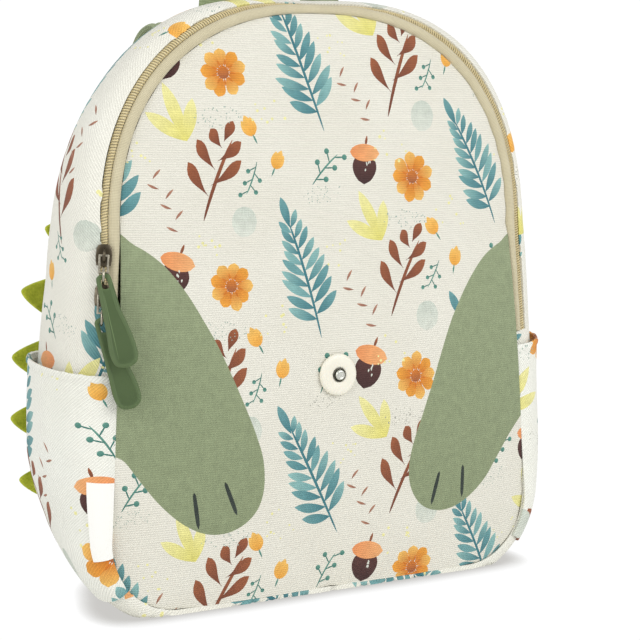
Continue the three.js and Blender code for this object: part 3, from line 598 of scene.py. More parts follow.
def canvas(name, turn, ground, wefts=1.15, warps=0.78, printed=True):
    """Ribbed canvas: heavy wefts over fine warps, uneven yarns, ink that sinks into them, painted shade in
    the hollows.
    """
    made = Surface(name, 0.88, Sheen_Weight=0.12, Sheen_Roughness=0.5)
    cloth = made.mapped(made.sheet(), Rotation=(0, 0, turn))
    weft = made.bands(cloth, RIB / wefts, 0.55, "Y", detail_scale=2.2)
    warp = made.bands(cloth, RIB / warps, 0.8, "X", detail_scale=1.6)
    slub = made.noise(made.mapped(cloth, Scale=(14, 90, 1)), 1.0, 3.0)
    yarns = made.work("MULTIPLY_ADD", weft, warp, weft)
    height = made.work("ADD", yarns, made.work("MULTIPLY", slub, 0.6))
    light = tuple(min(1, c * 1.03) for c in ground)
    deep = tuple(c * f for c, f in zip(ground, (0.93, 0.915, 0.88)))
    base = made.mix(made.noise(cloth, 2.2), deep, light)
    if printed:
        ink = made.node("Attribute", attribute_name="ink")
        alpha = made.node("Attribute", attribute_name="ink", out=3)
        streak = made.noise(made.mapped(made.sheet("brush"), Scale=(190, 14, 1)), 1.0, 3.0)
        pool = made.noise(cloth, 22.0, 4.0)
        shade = made.span(made.work("ADD", streak, pool), 0.6, 1.4, 0.86, 1.14)
        base = made.mix(alpha, base, made.node("VectorMath", {0: ink, "Scale": shade}, operation="SCALE"))
    # painted shade: the colour is darkened where the weave lies low, in the hollows between the yarns
    weave_hollow_shade = made.span(height, 0.2, 2.0, 0.84, 1.06)
    return made.wire(Base_Color=made.node("VectorMath", {0: base, "Scale": weave_hollow_shade}, operation="SCALE"),
                     Normal=made.bump(0.75, 0.2, height))


# the two paws and their toe strokes, in millimetres on the panel: x, z
PAW_LEFT = (
    (-125, 192), (-110, 187), (-97, 178), (-86, 165), (-76.5, 150), (-68, 135), (-60, 118), (-53, 102),
    (-47.5, 88), (-44, 76), (-43.5, 62), (-47, 51), (-55, 43.5), (-66, 40), (-78, 41.5), (-90, 48),
    (-101, 58),
    (-110, 69), (-119, 81), (-129, 92), (-133, 140))
PAW_RIGHT = (
    (122, 184), (110, 181), (99, 175), (90, 166), (82, 155), (74, 141), (67, 124), (61, 108), (55, 93),
    (49, 78), (46, 65), (47, 53), (53, 43), (62, 38), (73, 37.5), (85, 42), (97, 51), (106, 62),
    (115, 74), (124, 84),
    (133, 93), (133, 150))
TOE_STROKES = (((-83, 63), (-80.5, 44)), ((-66, 67), (-59, 49)), ((66, 59), (61, 41)), ((82, 61), (81.5, 43)))
TOE_WIDTH, EDGE_IN = 2.3, 0.05


def rounded(points, steps=6):
    """A smooth closed line through the given points."""
    here = np.array(points, float)
    before, after, beyond = np.roll(here, 1, 0), np.roll(here, -1, 0), np.roll(here, -2, 0)
    rows = [0.5 * (2 * here + (after - before) * t + (2 * before - 5 * here + 4 * after - beyond) * t ** 2
                   + (3 * here - before - 3 * after + beyond) * t ** 3) for t in np.arange(steps) / steps]
    return np.stack(rows, 1).reshape(-1, 2)


strokes = scatter(11, -127, 127, 2, 303, skew=(-152, -22))
for paw in (PAW_LEFT, PAW_RIGHT):
    outline = rounded(paw)
    strokes.append(dict(outline=outline, root=outline.min(0), way=np.array([0.0, 1.0]),
                        length=float(np.ptp(outline[:, 1])), inks=PAW))
for (x0, z0), (x1, z1) in TOE_STROKES:
    turn, long = math.atan2(x1 - x0, z1 - z0), math.hypot(x1 - x0, z1 - z0)
    strokes.append(petal((x0, z0), turn, long, TOE_WIDTH, TOE, blunt=0.22, fullest=0.5))
rim_share = np.linspace(0, 1, 420, endpoint=False)
border = drawn_in(np.stack(front_seam.at(rim_share), 1), PANEL_MIDDLE, EDGE_IN)
front_canvas = canvas("front_canvas", 0.0, linear(237, 235, 224))
mesh = printed_mesh("front_panel_cloth", border, strokes, 4.0, on_panel)
front_cloth = dress(mesh, front_canvas, ["front_panel"], CANVAS)

# Gusset: one band of the same canvas round the whole bag, which is its sides, top and
# base. It is sewn to the panel below and to the zip above, and swells past both seams.
SIDE_BULGE, BASE_BULGE, FULL_BULGE, SECTION_POWER = 19.5, 12, 100, 2.6
TOP_BULGE, TOP_REACH = 6, 95
BACK_CORNER, BACK_RISE, BACK_ARCH_START, BACK_ARCH_POWER, BACK_TOP = 74, 3.5, 165, 2, 298
TAPE_WIDTH, COIL_WIDTH = 5.8, 3.6
ZIP_END_LEFT, ZIP_END_RIGHT = 155, 128
ZIP_EDGE = TAPE_WIDTH + COIL_WIDTH + 3 * CLEARANCE
LENGTH = front_seam.total
back_y = BASE_DEPTH / 2
back_seam = Seam(BACK_CORNER, BACK_RISE, BACK_ARCH_START, BACK_ARCH_POWER, BACK_TOP)

ROUNDS, ACROSS, NEXT_TO = 1600, 240, 0.004
round_share = np.arange(ROUNDS) / ROUNDS
fx, fz = front_seam.at(round_share)
bx, bz = back_seam.at(round_share)
ax, az = front_seam.at(round_share + NEXT_TO)
cx, cz = front_seam.at(round_share - NEXT_TO)
out_x, out_z = unit(np.stack([az - cz, cx - ax], 1)).T
full = BASE_BULGE + (SIDE_BULGE - BASE_BULGE) * ease(fz / FULL_BULGE)
full = TOP_BULGE + (full - TOP_BULGE) * ease(np.where(fz > ARCH_START, np.abs(fx) / TOP_REACH, 1))
turn = np.linspace(0, math.pi, 721)
lean = (1 - np.sign(np.cos(turn)) * np.abs(np.cos(turn)) ** (2 / SECTION_POWER)) / 2
swell = np.sin(turn).clip(0) ** (2 / SECTION_POWER)
band_x = fx[:, None] + (bx - fx)[:, None] * lean + (full * out_x)[:, None] * swell
band_z = np.maximum(fz[:, None] + (bz - fz)[:, None] * lean + (full * out_z)[:, None] * swell, 0)
band_y = front_y(fz)[:, None] + (back_y - front_y(fz))[:, None] * lean
steps = np.sqrt(np.diff(band_x) ** 2 + np.diff(band_y) ** 2 + np.diff(band_z) ** 2)
walk = np.cumsum(np.pad(steps, ((0, 0), (1, 0))), 1)
band_total = walk[:, -1]
band_grid = np.stack([[np.interp(np.linspace(0, w[-1], ACROSS), w, line) for w, line in zip(walk, lines)]
                      for lines in (band_x, band_y, band_z)], 2)
around = np.roll(band_grid, -3, 0) - np.roll(band_grid, 3, 0)
band_normal = -np.cross(around, np.gradient(band_grid, axis=1))
band_normal /= np.linalg.norm(band_normal, axis=2, keepdims=True) + 1e-12


def read_grid(grid, share, part):
    """Reads a grid at shares round the bag and parts across the band."""
    i = np.mod(share, 1.0) * ROUNDS
    j = np.clip(part, 0, 1) * (ACROSS - 1)
    i0, j0 = np.floor(i).astype(int) % ROUNDS, np.minimum(np.floor(j).astype(int), ACROSS - 2)
    i1 = (i0 + 1) % ROUNDS
    s, t = (i - np.floor(i))[:, None], (j - j0)[:, None]
    near = grid[i0, j0] * (1 - t) + grid[i0, j0 + 1] * t
    return near * (1 - s) + (grid[i1, j0] * (1 - t) + grid[i1, j0 + 1] * t) * s


def total_at(share):
    """How wide the band is, in millimetres of cloth."""
    return np.interp(np.mod(share, 1.0) * ROUNDS, np.arange(ROUNDS + 1), np.append(band_total, band_total[0]))


def on_band(share, across, lift=0.0):
    """Places points on the band: share of the way round, millimetres from the front seam."""
    share, across = np.broadcast_arrays(np.asarray(share, float), np.asarray(across, float))
    part = across / total_at(share)
    normal = unit(read_grid(band_normal, share, part))
    return read_grid(band_grid, share, part) + normal * np.reshape(lift, (-1, 1) if np.ndim(lift) else ())


def off_band(share, across):
    """The way out from the band."""
    return on_band(share, across, 1.0) - on_band(share, across)


zip_right = front_seam.share_at(SEAM_RISE + ZIP_END_RIGHT, 1)
zip_left = front_seam.share_at(SEAM_RISE + ZIP_END_LEFT, -1)


def on_gusset(flat):
    """Slow swells of the filled band, small puckers where it is sewn, and edges turned in."""
    u, across = flat[:, 0], flat[:, 1]
    share = u / LENGTH
    start = np.where((share > zip_right) & (share < zip_left), ZIP_EDGE, 0)
    to_back = total_at(share) - across
    in_from_edge = np.minimum(across, to_back)
    over_floor = np.clip(on_band(share, across)[:, 2] / 30, 0, 1)
    swells = 0.7 * soft(u, across, 88, 21) * np.clip(in_from_edge / 14, 0, 1)
    puckers = 0.3 * np.sin(u * 2 * math.pi / 13 + 2.4 * soft(u, across, 70, 8)) * np.exp(-in_from_edge / 6)
    turned_in = 0.9 * np.exp(-(across - start) / 1.1) + 0.8 * np.exp(-to_back / 1.1)
    place = on_band(share, across, (swells + puckers) * over_floor - turned_in)
    place[:, 2] = np.maximum(place[:, 2], 0.05)
    return place


def upright_on_band(u):
    """Turns a motif so that it stands up on either side of the bag."""
    return math.pi / 2 if (u / LENGTH) % 1.0 < 0.5 else -math.pi / 2


def border_between(low_line, high_line, steps):
    """A closed border of two lines that run the same way, joined by even steps at both ends."""
    part = np.linspace(0, 1, steps)[1:-1, None]
    back = high_line[::-1]
    return np.concatenate([low_line, low_line[-1] * (1 - part) + back[0] * part,
                           back, back[-1] * (1 - part) + low_line[0] * part])


def mended(mesh, step):
    """Runs one bmesh step on a mesh."""
    build = bmesh.new()
    build.from_mesh(mesh)
    step(build)
    build.to_mesh(mesh)
    build.free()
    return mesh


def outward(mesh):
    """Turns every face of a closed mesh outwards."""
    return mended(mesh, lambda build: bmesh.ops.recalc_face_normals(build, faces=build.faces))


lower = np.arange(0, LENGTH + 0.01, LENGTH / 420)
edge_in = np.where((lower / LENGTH > zip_right) & (lower / LENGTH < zip_left), ZIP_EDGE, CLEARANCE)
lower_line = np.stack([lower, edge_in], 1)
# the band steps back from the seam where the zip begins and ends
for share, first, then in ((zip_right, CLEARANCE, ZIP_EDGE), (zip_left, ZIP_EDGE, CLEARANCE)):
    lower_line = lower_line[np.abs(lower_line[:, 0] - share * LENGTH) > 0.7]
    lower_line = np.concatenate([lower_line, [(share * LENGTH - 0.2, first), (share * LENGTH + 0.2, then)]])
lower_line = lower_line[np.argsort(lower_line[:, 0])]
upper_line = np.stack([lower, total_at(lower / LENGTH) - CLEARANCE], 1)
strokes = scatter(23, 0, LENGTH, 0, 125, skew=(18, -44), upright=upright_on_band)
mesh = printed_mesh("gusset_cloth", border_between(lower_line, upper_line, 26), strokes, 3.4, on_gusset)
mended(mesh, lambda build: bmesh.ops.remove_doubles(build, verts=build.verts, dist=0.02 * MM))
# painted light: the same canvas with its ground lighter than the front panel's, making up for the shade on
# the sides and base
brightened_gusset_canvas = canvas("brightened_gusset_canvas", 0.62, linear(244, 243, 233))
gusset_cloth = dress(mesh, brightened_gusset_canvas, ["gusset"], CANVAS)
for corner in gusset_cloth.data.vertices:
    corner.co.z = max(corner.co.z, 0.0)

# Side pockets: a flat piece of the canvas over each side, caught in the seams, with a
# narrow rolled hem at its mouth and one row of stitches below it.
POCKET_TOP, POCKET_BOTTOM, POCKET_MOUTH, POCKET_CLOTH = 123, 14, 6, 1.5
HEM_DEPTH, HEM_END = 3.2, 2.5


def spun_thread(name, dark, light, relief=None):
    """Sewing thread, with its plies running slantwise and painted shade between them."""
    made = Surface(name, 0.8, Sheen_Weight=0.2)
    ply = made.bands(made.place(), 520.0, 1.0, "DIAGONAL")
    # painted shade: the colour darkens in bands between the twisted plies
    made.wire(Base_Color=made.mix(ply, dark, light))
    if relief:
        made.wire(Normal=made.bump(0.6, relief, ply))
    return made.material


def tube(path, side, up, radius, sides):
    """Points round a path, station by station."""
    turn = np.arange(sides) * 2 * math.pi / sides
    ring = np.cos(turn)[:, None] * side[:, None] + np.sin(turn)[:, None] * up[:, None]
    return (path[:, None] + np.reshape(radius, (-1, 1, 1)) * ring).reshape(-1, 3)


def skin(rows, ring, base=0, closed=False):
    """Faces over rows of points, each once round, with its ends capped or joined to each other."""
    walls = [(base + i * ring + j, base + i * ring + (j + 1) % ring,
              base + (i + 1) % rows * ring + (j + 1) % ring, base + (i + 1) % rows * ring + j)
             for i in range(rows if closed else rows - 1) for j in range(ring)]
    if closed:
        return walls
    last = base + (rows - 1) * ring
    return walls + [tuple(range(base + ring - 1, base - 1, -1)), tuple(range(last, last + ring))]


def stitches(name, rows, material, pitch, length, thread):
    """One piece of several rows of small arched stitches; a row is a line and its normals."""
    points, faces = [], []
    arch = np.sin(np.linspace(0, math.pi, 6)) * thread * 1.3 - thread * 0.7
    radius = thread * np.array([0.45, 1, 1, 1, 1, 0.45])
    for line, normals in rows:
        walk = walked(line)
        for start in np.arange(pitch / 2, walk[-1] - length, pitch):
            at = start + np.linspace(0, length, 6)
            up = unit(read_line(at, walk, normals))
            path = read_line(at, walk, line) + up * arch[:, None]
            side = unit(np.cross(np.gradient(path, axis=0), up))
            faces += skin(6, 5, 30 * len(points))
            points.append(tube(path, side, up, radius, 5))
    return dress(outward(mesh_from(name, np.concatenate(points), faces)), material, None)


thread_cotton = spun_thread("thread_cotton", linear(196, 186, 164), linear(232, 224, 206), relief=0.08)
# painted light: the same canvas with its ground lighter still than the front panel's, making up for the shade
# low on the sides
brightened_pocket_canvas = canvas("brightened_pocket_canvas", -0.72, linear(247, 248, 240))


def sew_pocket(word, side, skew):
    """Cuts one pocket, lays it over the band and stitches its hem."""
    top = front_seam.share_at(POCKET_TOP, side)
    bottom = front_seam.share_at(SEAM_RISE + POCKET_BOTTOM, side)
    first, last = min(top, bottom) * LENGTH, max(top, bottom) * LENGTH

    def on_pocket(flat):
        u, across = flat[:, 0], flat[:, 1]
        share = u / LENGTH
        down = np.abs(share - top) * LENGTH
        total = total_at(share)
        in_from_edge = np.minimum(across, total - across)
        up = np.clip(1 - np.abs(share - top) / abs(bottom - top), 0, 1)
        gape = POCKET_MOUTH * np.sin(math.pi * np.clip(across / total, 0, 1)) ** 1.5 * up ** 2
        lift = CLEARANCE + gape + POCKET_CLOTH
        # the roll of the hem, the groove of its stitches, and slow folds under it
        lift += 0.75 * np.clip(1 - ((down - HEM_DEPTH * 0.42) / (HEM_DEPTH * 0.5)) ** 2, 0, 1) ** 0.6
        lift -= 0.35 * np.exp(-((down - HEM_DEPTH) / 0.55) ** 2)
        lift += 0.55 * soft(u, across, 62, 31 + side) * np.clip(in_from_edge / 12, 0, 1)
        gathers = 0.16 * np.sin(across * 2 * math.pi / 6.5 + soft(u, across, 40, 6))
        lift += gathers * np.exp(-np.abs(down - HEM_DEPTH) / 5) * (down > 0.8)
        lift -= 0.7 * np.exp(-in_from_edge / 1.0)
        return on_band(share, across, np.maximum(lift, CLEARANCE + POCKET_CLOTH - 0.5))

    us = np.linspace(first, last, 76)
    low_edge = np.stack([us, np.full(76, CLEARANCE)], 1)
    high_edge = np.stack([us, total_at(us / LENGTH) - CLEARANCE], 1)
    strokes = scatter(41 + side, first, last, 0, 110, skew=skew, upright=upright_on_band)
    border = border_between(low_edge, high_edge, 60)
    mesh = printed_mesh(f"pocket_cloth_{word}", border, strokes, 2.2, on_pocket)
    pocket = dress(mesh, brightened_pocket_canvas, [f"pocket_{word}"], POCKET_CLOTH)

    share = np.full(90, top + math.copysign(HEM_DEPTH / LENGTH, bottom - top))
    across = np.linspace(HEM_END, total_at(share[0]) - HEM_END, 90)
    normals = off_band(share, across)
    line = on_pocket(np.stack([share * LENGTH, across], 1)) + normals * 0.1
    hem = stitches(f"pocket_stitches_{word}", [(line, normals)], thread_cotton, 2.3, 1.7, 0.2)


sew_pocket("right", 1, (30, -8))
sew_pocket("left", -1, (-37, -30))

# Zip: woven khaki tape turned over a cord in the front seam, and beside it the closed
# nylon coil, which runs from the left side over the arch to the right side.
TAPE_THICKNESS, TAPE_CROWN, TAPE_START, TAPE_LAP = 1.4, 2.3, 0.05, 0.25
INNER_TAPE, INNER_DEPTH = 9, 3
COIL_START = 2 * CLEARANCE + TAPE_WIDTH
TOOTH_PITCH, TOOTH_WIRE, TOOTH_RISE, TOOTH_SINK, TOOTH_LEAN = 1.35, 0.42, 1.35, 1.25, 0.525
TEETH_BED = ((0, -0.8), (0.5, -0.42), (1, -0.8), (1, -2.1), (0, -2.1))  # share of the coil's width, lift
zip_shares = np.linspace(zip_right + 0.4 / LENGTH, zip_left - 0.4 / LENGTH, 420)


def swept(name, rows):
    """A closed skin over rows of points, with cloth coordinates in millimetres along and round it."""
    rows = np.array(rows)
    count, ring = rows.shape[:2]
    faces = skin(count, ring)
    mesh = mesh_from(name, rows.reshape(-1, 3), faces)
    flat = np.stack([np.repeat(walked(rows[:, 0]), ring), np.tile(walked(rows[count // 2]), count)], 1)
    give_uv(mesh, "cloth", flat[[i for face in faces for i in face]])
    return outward(mesh)


def tape_weave(name, light, dark, rib=0.75):
    """Woven tape: fine ribs across it and a faint herringbone, with painted shade in their hollows."""
    made = Surface(name, 0.78, Sheen_Weight=0.25)
    cloth = made.sheet()
    ribs = made.bands(cloth, RIB / rib, 0.4, "X", detail=1.0)
    ends = made.bands(cloth, RIB / 0.9, 0.8, "Y", detail=1.0)
    height = made.work("MULTIPLY_ADD", ends, 0.4, ribs)
    stain = made.work("MULTIPLY", made.noise(cloth, 9.0, 3.0), 0.4)
    # painted shade: the tone follows the weave's height, darker in its hollows, with a faint random stain
    # over it
    factor = made.work("ADD", made.work("MULTIPLY", height, 0.45), stain)
    return made.wire(Base_Color=made.mix(factor, dark, light), Normal=made.bump(0.7, 0.16, height))


def speckled(name, roughness, scale, detail, dark, light, rough=None, **sockets):
    """A smooth material whose tone wanders, and its roughness with it if a range is given."""
    made = Surface(name, roughness, **sockets)
    tone = made.noise(made.place(), scale, detail)
    made.wire(Base_Color=made.mix(tone, dark, light))
    if rough:
        made.wire(Roughness=made.span(tone, 0, 1, *rough))
    return made.material


khaki_tape = tape_weave("khaki_tape", linear(222, 213, 182), linear(176, 165, 132))
walk = zip_shares * LENGTH
ripple = 0.10 * np.sin(walk * 2 * math.pi / 21 + 3 * soft(walk, 0 * walk, 90, 12))
rows = []
for part, lift in ([(t, TAPE_CROWN * math.sin(math.pi * t) ** 0.6 - 0.6) for t in np.linspace(0, 1, 13)]
                   + [(t, -TAPE_THICKNESS) for t in np.linspace(1, 0, 5)]):
    rows.append(on_band(zip_shares, TAPE_START + (TAPE_WIDTH + TAPE_LAP) * part, lift + ripple * (lift > 0)))
tape = dress(swept("zip_tape_cloth", np.stack(rows, 1)), khaki_tape, ["zip_tape"])
rows = [on_band(zip_shares, COIL_START + INNER_TAPE * part, -INNER_DEPTH - lower_face * TAPE_THICKNESS)
        for part, lower_face in ((0, 0), (0.5, 0), (1, 0), (1, 1), (0.5, 1), (0, 1))]
mesh = swept("zip_tape_inner_cloth", np.stack(rows, 1))
inner_tape = dress(mesh, khaki_tape, ["zip_tape_inner"])

# each tooth is one turn of the nylon wire: up one side, over, and down the other, leaning on to the next
tooth_count = int((zip_left - zip_right) * LENGTH / TOOTH_PITCH)
starts = zip_right + (np.arange(tooth_count) + 0.5) * TOOTH_PITCH / LENGTH
paths, ups = [], []
for t, lean in zip(np.linspace(0.02, 0.98, 8), np.linspace(-TOOTH_LEAN, TOOTH_LEAN, 8)):
    across, lift = COIL_START + COIL_WIDTH * t, TOOTH_RISE * math.sin(math.pi * t) ** 0.55 - TOOTH_SINK
    paths.append(on_band(starts + lean / LENGTH, across, lift))
    ups.append(off_band(starts, across))
points, faces = [], []
for path, up in zip(np.stack(paths, 1), np.stack(ups, 1)):
    along = unit(np.gradient(path, axis=0))
    side = unit(np.cross(along, up))
    faces += skin(8, 6, 48 * len(points))
    points.append(tube(path, side, np.cross(side, along), TOOTH_WIRE, 6))
coil_nylon = speckled("coil_nylon", 0.38, 160.0, 2.0, linear(204, 187, 138), linear(228, 213, 168),
                      (0.3, 0.5), Coat_Weight=0.15)
dress(outward(mesh_from("zip_teeth", np.concatenate(points), faces)), coil_nylon, ["zip_coil"])
# the woven edges of both tapes under the teeth
rows = [on_band(zip_shares, COIL_START + COIL_WIDTH * t, lift) for t, lift in TEETH_BED]
dress(swept("zip_teeth_bed", np.stack(rows, 1)), khaki_tape, None)

# Side label: a short loop of white satin ribbon caught in the left front seam, left bare.
LABEL_WIDTH, LABEL_BOTTOM, LABEL_TOP, LABEL_THICKNESS = 12, 34, 71, 0.8
LABEL_TUCK, LABEL_LIFT = 0.34, 3 * CLEARANCE + POCKET_CLOTH + LABEL_THICKNESS / 2 + 0.55
label_shares = np.linspace(front_seam.share_at(LABEL_TOP, -1), front_seam.share_at(LABEL_BOTTOM, -1), 40)
down = np.linspace(0, 1, 40)
rows = []
section = [(t, 1) for t in np.linspace(0, 1, 15)] + [(1.03, 0.5)] + [(t, 0) for t in np.linspace(1, 0, 15)]
for part, layer in section:
    curl = 0.5 * part ** 2.2 + 0.3 * math.sin(math.pi * part) + 0.25 * np.sin(math.pi * down) * part
    plump = LABEL_THICKNESS * (layer - 0.5) * (1 + 0.5 * math.sin(math.pi * min(part, 1)))
    # the lower end curls out of sight
    width = LABEL_WIDTH * min(part, 1.02) * (0.92 - LABEL_TUCK * down ** 1.3)
    rows.append(on_band(label_shares, CLEARANCE + width, LABEL_LIFT + curl + plump))
satin = Surface("label_satin", 0.42, Sheen_Weight=0.3, Specular_IOR_Level=0.35)
twill = satin.bands(satin.mapped(satin.sheet(), Rotation=(0, 0, 0.5)), RIB / 0.45, 0.5, "X")
# painted sheen and shade: the white is lighter on the twill's ridges and greyer in its grooves
satin.wire(Base_Color=satin.mix(twill, linear(238, 237, 231), linear(252, 251, 247)),
           Normal=satin.bump(0.35, 0.06, twill))
mesh = swept("side_label_ribbon", np.stack(rows, 1))
label = dress(mesh, satin.material, ["side_label"])

# Press snap: a cream disc with a soft rim on the front panel, and its bright metal stud
# in a dark metal socket ring, whose dark tone is partly painted shade round the stud. All three are turned
# parts.
SNAP_HEIGHT, SNAP_DIAMETER, SNAP_THICKNESS = 117.5, 22, 2.6
half, face = SNAP_DIAMETER / 2, CLEARANCE + SNAP_THICKNESS
DISC_PROFILE = (  # radius, height
    (0, CLEARANCE), (half - 0.9, CLEARANCE), (half - 0.2, 0.75), (half, 1.35), (half - 0.25, 2.05),
    (half - 0.9, 2.6), (half - 1.6, face - 0.06), (half - 2.6, face), (4.6, face), (4.2, face - 0.12),
    (3.9, face - 0.5), (0, face - 0.5))
STUD_PROFILE = (
    (0, face - 0.45), (2.75, face - 0.45), (2.8, face + 0.1), (2.7, face + 0.85), (2.4, face + 1.4),
    (1.9, face + 1.6), (1.5, face + 1.5), (1.2, face + 1.2), (0, face + 1.1))
SOCKET_PROFILE = (
    (2.85, face - 0.45), (3.75, face - 0.45), (3.8, face - 0.1), (3.6, face + 0.2), (3.3, face + 0.28),
    (3.0, face + 0.1), (2.85, face - 0.2))
snap_low, snap_high = on_panel(np.array([[0, SNAP_HEIGHT - 6.0], [0, SNAP_HEIGHT + 6.0]]))
snap_right, snap_up = Vector((1, 0, 0)), Vector(snap_high - snap_low).normalized()
snap_place = placed(snap_right, snap_up, snap_right.cross(snap_up), (snap_low + snap_high) / 2)


def edited(piece, step):
    """Runs mesh tools on all of a piece in edit mode."""
    pick(piece)
    bpy.ops.object.mode_set(mode="EDIT")
    bpy.ops.mesh.select_all(action="SELECT")
    step()
    bpy.ops.object.mode_set(mode="OBJECT")


def turned(name, profile, steps):
    """A turned part of the snap: its half profile spun round its own axis, then set in place."""
    mesh = bpy.data.meshes.new(name)
    edges = [(k, k + 1) for k in range(len(profile) - 1)]
    mesh.from_pydata([(r * MM, 0, z * MM) for r, z in profile], edges, [])
    piece = added(name, mesh)

    def spin():
        bpy.ops.mesh.spin(steps=steps, angle=2 * math.pi, center=(0, 0, 0), axis=(0, 0, 1))
        bpy.ops.mesh.select_all(action="SELECT")
        bpy.ops.mesh.remove_doubles(threshold=0.004 * MM)
        bpy.ops.mesh.normals_make_consistent(inside=False)

    edited(piece, spin)
    piece.data.transform(snap_place)
    return piece


cream = Surface("snap_cream", 0.36, Subsurface_Weight=0.05, Subsurface_Radius=(0.002, 0.0015, 0.001))
fine = cream.noise(cream.place(), 420.0, 3.0)
slow = cream.noise(cream.place(), 60.0)
cream.wire(Base_Color=cream.mix(slow, linear(232, 227, 210), linear(240, 237, 224)),
           Roughness=cream.span(fine, 0, 1, 0.3, 0.46), Normal=cream.bump(0.2, 0.03, fine))
nickel = speckled("stud_nickel", 0.22, 900.0, 4.0, linear(196, 198, 190), linear(228, 229, 222), (0.16, 0.34),
                  Metallic=1.0)
# partly painted shade: the socket ring's dark metal stands in for the shadow round the stud
socket_shade_gunmetal = speckled("snap_gunmetal_and_shade", 0.4, 700.0, 4.0, linear(58, 56, 50), linear(104, 102, 94), Metallic=1.0)
settle(turned("snap_disc_cap", DISC_PROFILE, 64), cream.material, ["snap_disc"])
settle(turned("snap_stud_cap", STUD_PROFILE, 48), nickel, ["snap_stud"])
settle(turned("snap_socket_ring", SOCKET_PROFILE, 48), socket_shade_gunmetal, None)

# Sliders: two cast metal sliders back to back at the left end of the zip. Each has a
# domed top plate, rolled-in side flanges and a bail, through which its flat wire link hangs.
SLIDER_LENGTH, SLIDER_WIDTH, SLIDER_HEIGHT, SLIDER_GAP = 11, 8, 2.4, 8.5
SLIDER_UPPER = SEAM_RISE + ZIP_END_LEFT + 24.5
PLATE, FLANGE, WEDGE_WIDTH, WEDGE_LENGTH = 1.2, 0.9, 1.6, 2.6
COIL_HEIGHT = 1.3
BAIL_RADIUS, BAIL_WIRE = 3.1, 1.5
LINK_LENGTH, LINK_WIDTH, LINK_BAR, LINK_THICKNESS = 9.6, 5.2, 1.1, 1
RING_RADIUS, RING_WIRE, RING_PLAY = 3.8, 1.2, 0.25
TAB_LENGTH, TAB_WIDTH, TAB_THICKNESS, TAB_HOLE, TAB_RIM = 46, 14.5, 2.8, 2.6, 1.6
PULLS = (  # height, and in degrees how the ring leans out, the tab swings aside and leans out
    ("upper", SLIDER_UPPER, 57, 16, 10), ("lower", SLIDER_UPPER - SLIDER_LENGTH - SLIDER_GAP, 6, 20, 3))

bronze = Surface("dark_bronze", 0.3, Metallic=1.0)
worn = bronze.noise(bronze.place(), 340.0, 5.0)
rub = bronze.work("MULTIPLY", bronze.span(bronze.node("NewGeometry", out=7), 0.5, 0.62), worn)
bronze.wire(Base_Color=bronze.mix(rub, linear(66, 58, 46), linear(168, 158, 138)),
            Roughness=bronze.span(worn, 0, 1, 0.22, 0.42), Normal=bronze.bump(0.15, 0.02, worn))
pull_wire = speckled("pull_wire", 0.2, 420.0, 4.0, linear(138, 130, 112), linear(206, 200, 184), (0.14, 0.3),
                     Metallic=1.0)


def bevelled(piece, width):
    """Rounds a part's edges."""
    modified(piece, "BEVEL", width=width * MM, segments=3, limit_method="ANGLE", angle_limit=math.radians(35))
    return piece


def block(size, place):
    """A block in millimetres, with its size and place in its mesh."""
    bpy.ops.object.select_all(action="DESELECT")
    bpy.ops.mesh.primitive_cube_add(size=MM, location=[c * MM for c in place], scale=size)
    bpy.ops.object.transform_apply(location=True, rotation=True, scale=True)
    return bpy.context.object


def ring_of(radius, wire):
    bpy.ops.object.select_all(action="DESELECT")
    bpy.ops.mesh.primitive_torus_add(major_radius=radius * MM, minor_radius=wire * MM / 2, major_segments=48,
                                     minor_segments=14)
    return bpy.context.object


def named(piece, name):
    piece.name = piece.data.name = name
    return piece


def tilted(way, degrees, axis):
    return Matrix.Rotation(math.radians(degrees), 3, axis) @ way


def cast_slider(name):
    """A slider with its nose up; -Y is away from the bag."""
    plate = block((SLIDER_WIDTH, PLATE, SLIDER_LENGTH), (0, (PLATE - SLIDER_HEIGHT) / 2, 0))
    edited(plate, lambda: bpy.ops.mesh.subdivide(number_cuts=3))
    for v in plate.data.vertices:
        x, z = v.co.x / MM / (SLIDER_WIDTH / 2), v.co.z / MM / (SLIDER_LENGTH / 2)
        v.co.x *= 1 - 0.26 * max(0, z) ** 2 - 0.1 * max(0, -z) ** 3
        v.co.z *= 1 - 0.1 * x * x
        v.co.y -= 0.35 * MM * (1 - x * x) * (v.co.y < -0.7 * MM)
    parts = [bevelled(plate, 0.32)]
    for hand in (-1, 1):
        place = (hand * (SLIDER_WIDTH / 2 - 0.75), 0.35, -0.6)
        parts.append(bevelled(block((FLANGE, SLIDER_HEIGHT - 0.7, SLIDER_LENGTH * 0.8), place), 0.25))
    wedge = block((WEDGE_WIDTH, SLIDER_HEIGHT - 1.3, WEDGE_LENGTH), (0, 0.2, SLIDER_LENGTH / 2 - 2.4))
    parts.append(bevelled(wedge, 0.3))
    bail = ring_of(BAIL_RADIUS, BAIL_WIRE)
    sideways = Matrix.Rotation(math.pi / 2, 4, "Y")
    bail.data.transform(Matrix.Translation((0, -SLIDER_HEIGHT / 2 * MM, 0)) @ sideways)
    edited(bail, lambda: bpy.ops.mesh.bisect(
        plane_co=(0, -0.75 * MM, 0), plane_no=(0, 1, 0), clear_outer=True, use_fill=True))
    bpy.ops.object.select_all(action="DESELECT")
    for part in [*parts, bail]:
        part.select_set(True)
    bpy.context.view_layer.objects.active = plate
    bpy.ops.object.join()
    return named(plate, name)


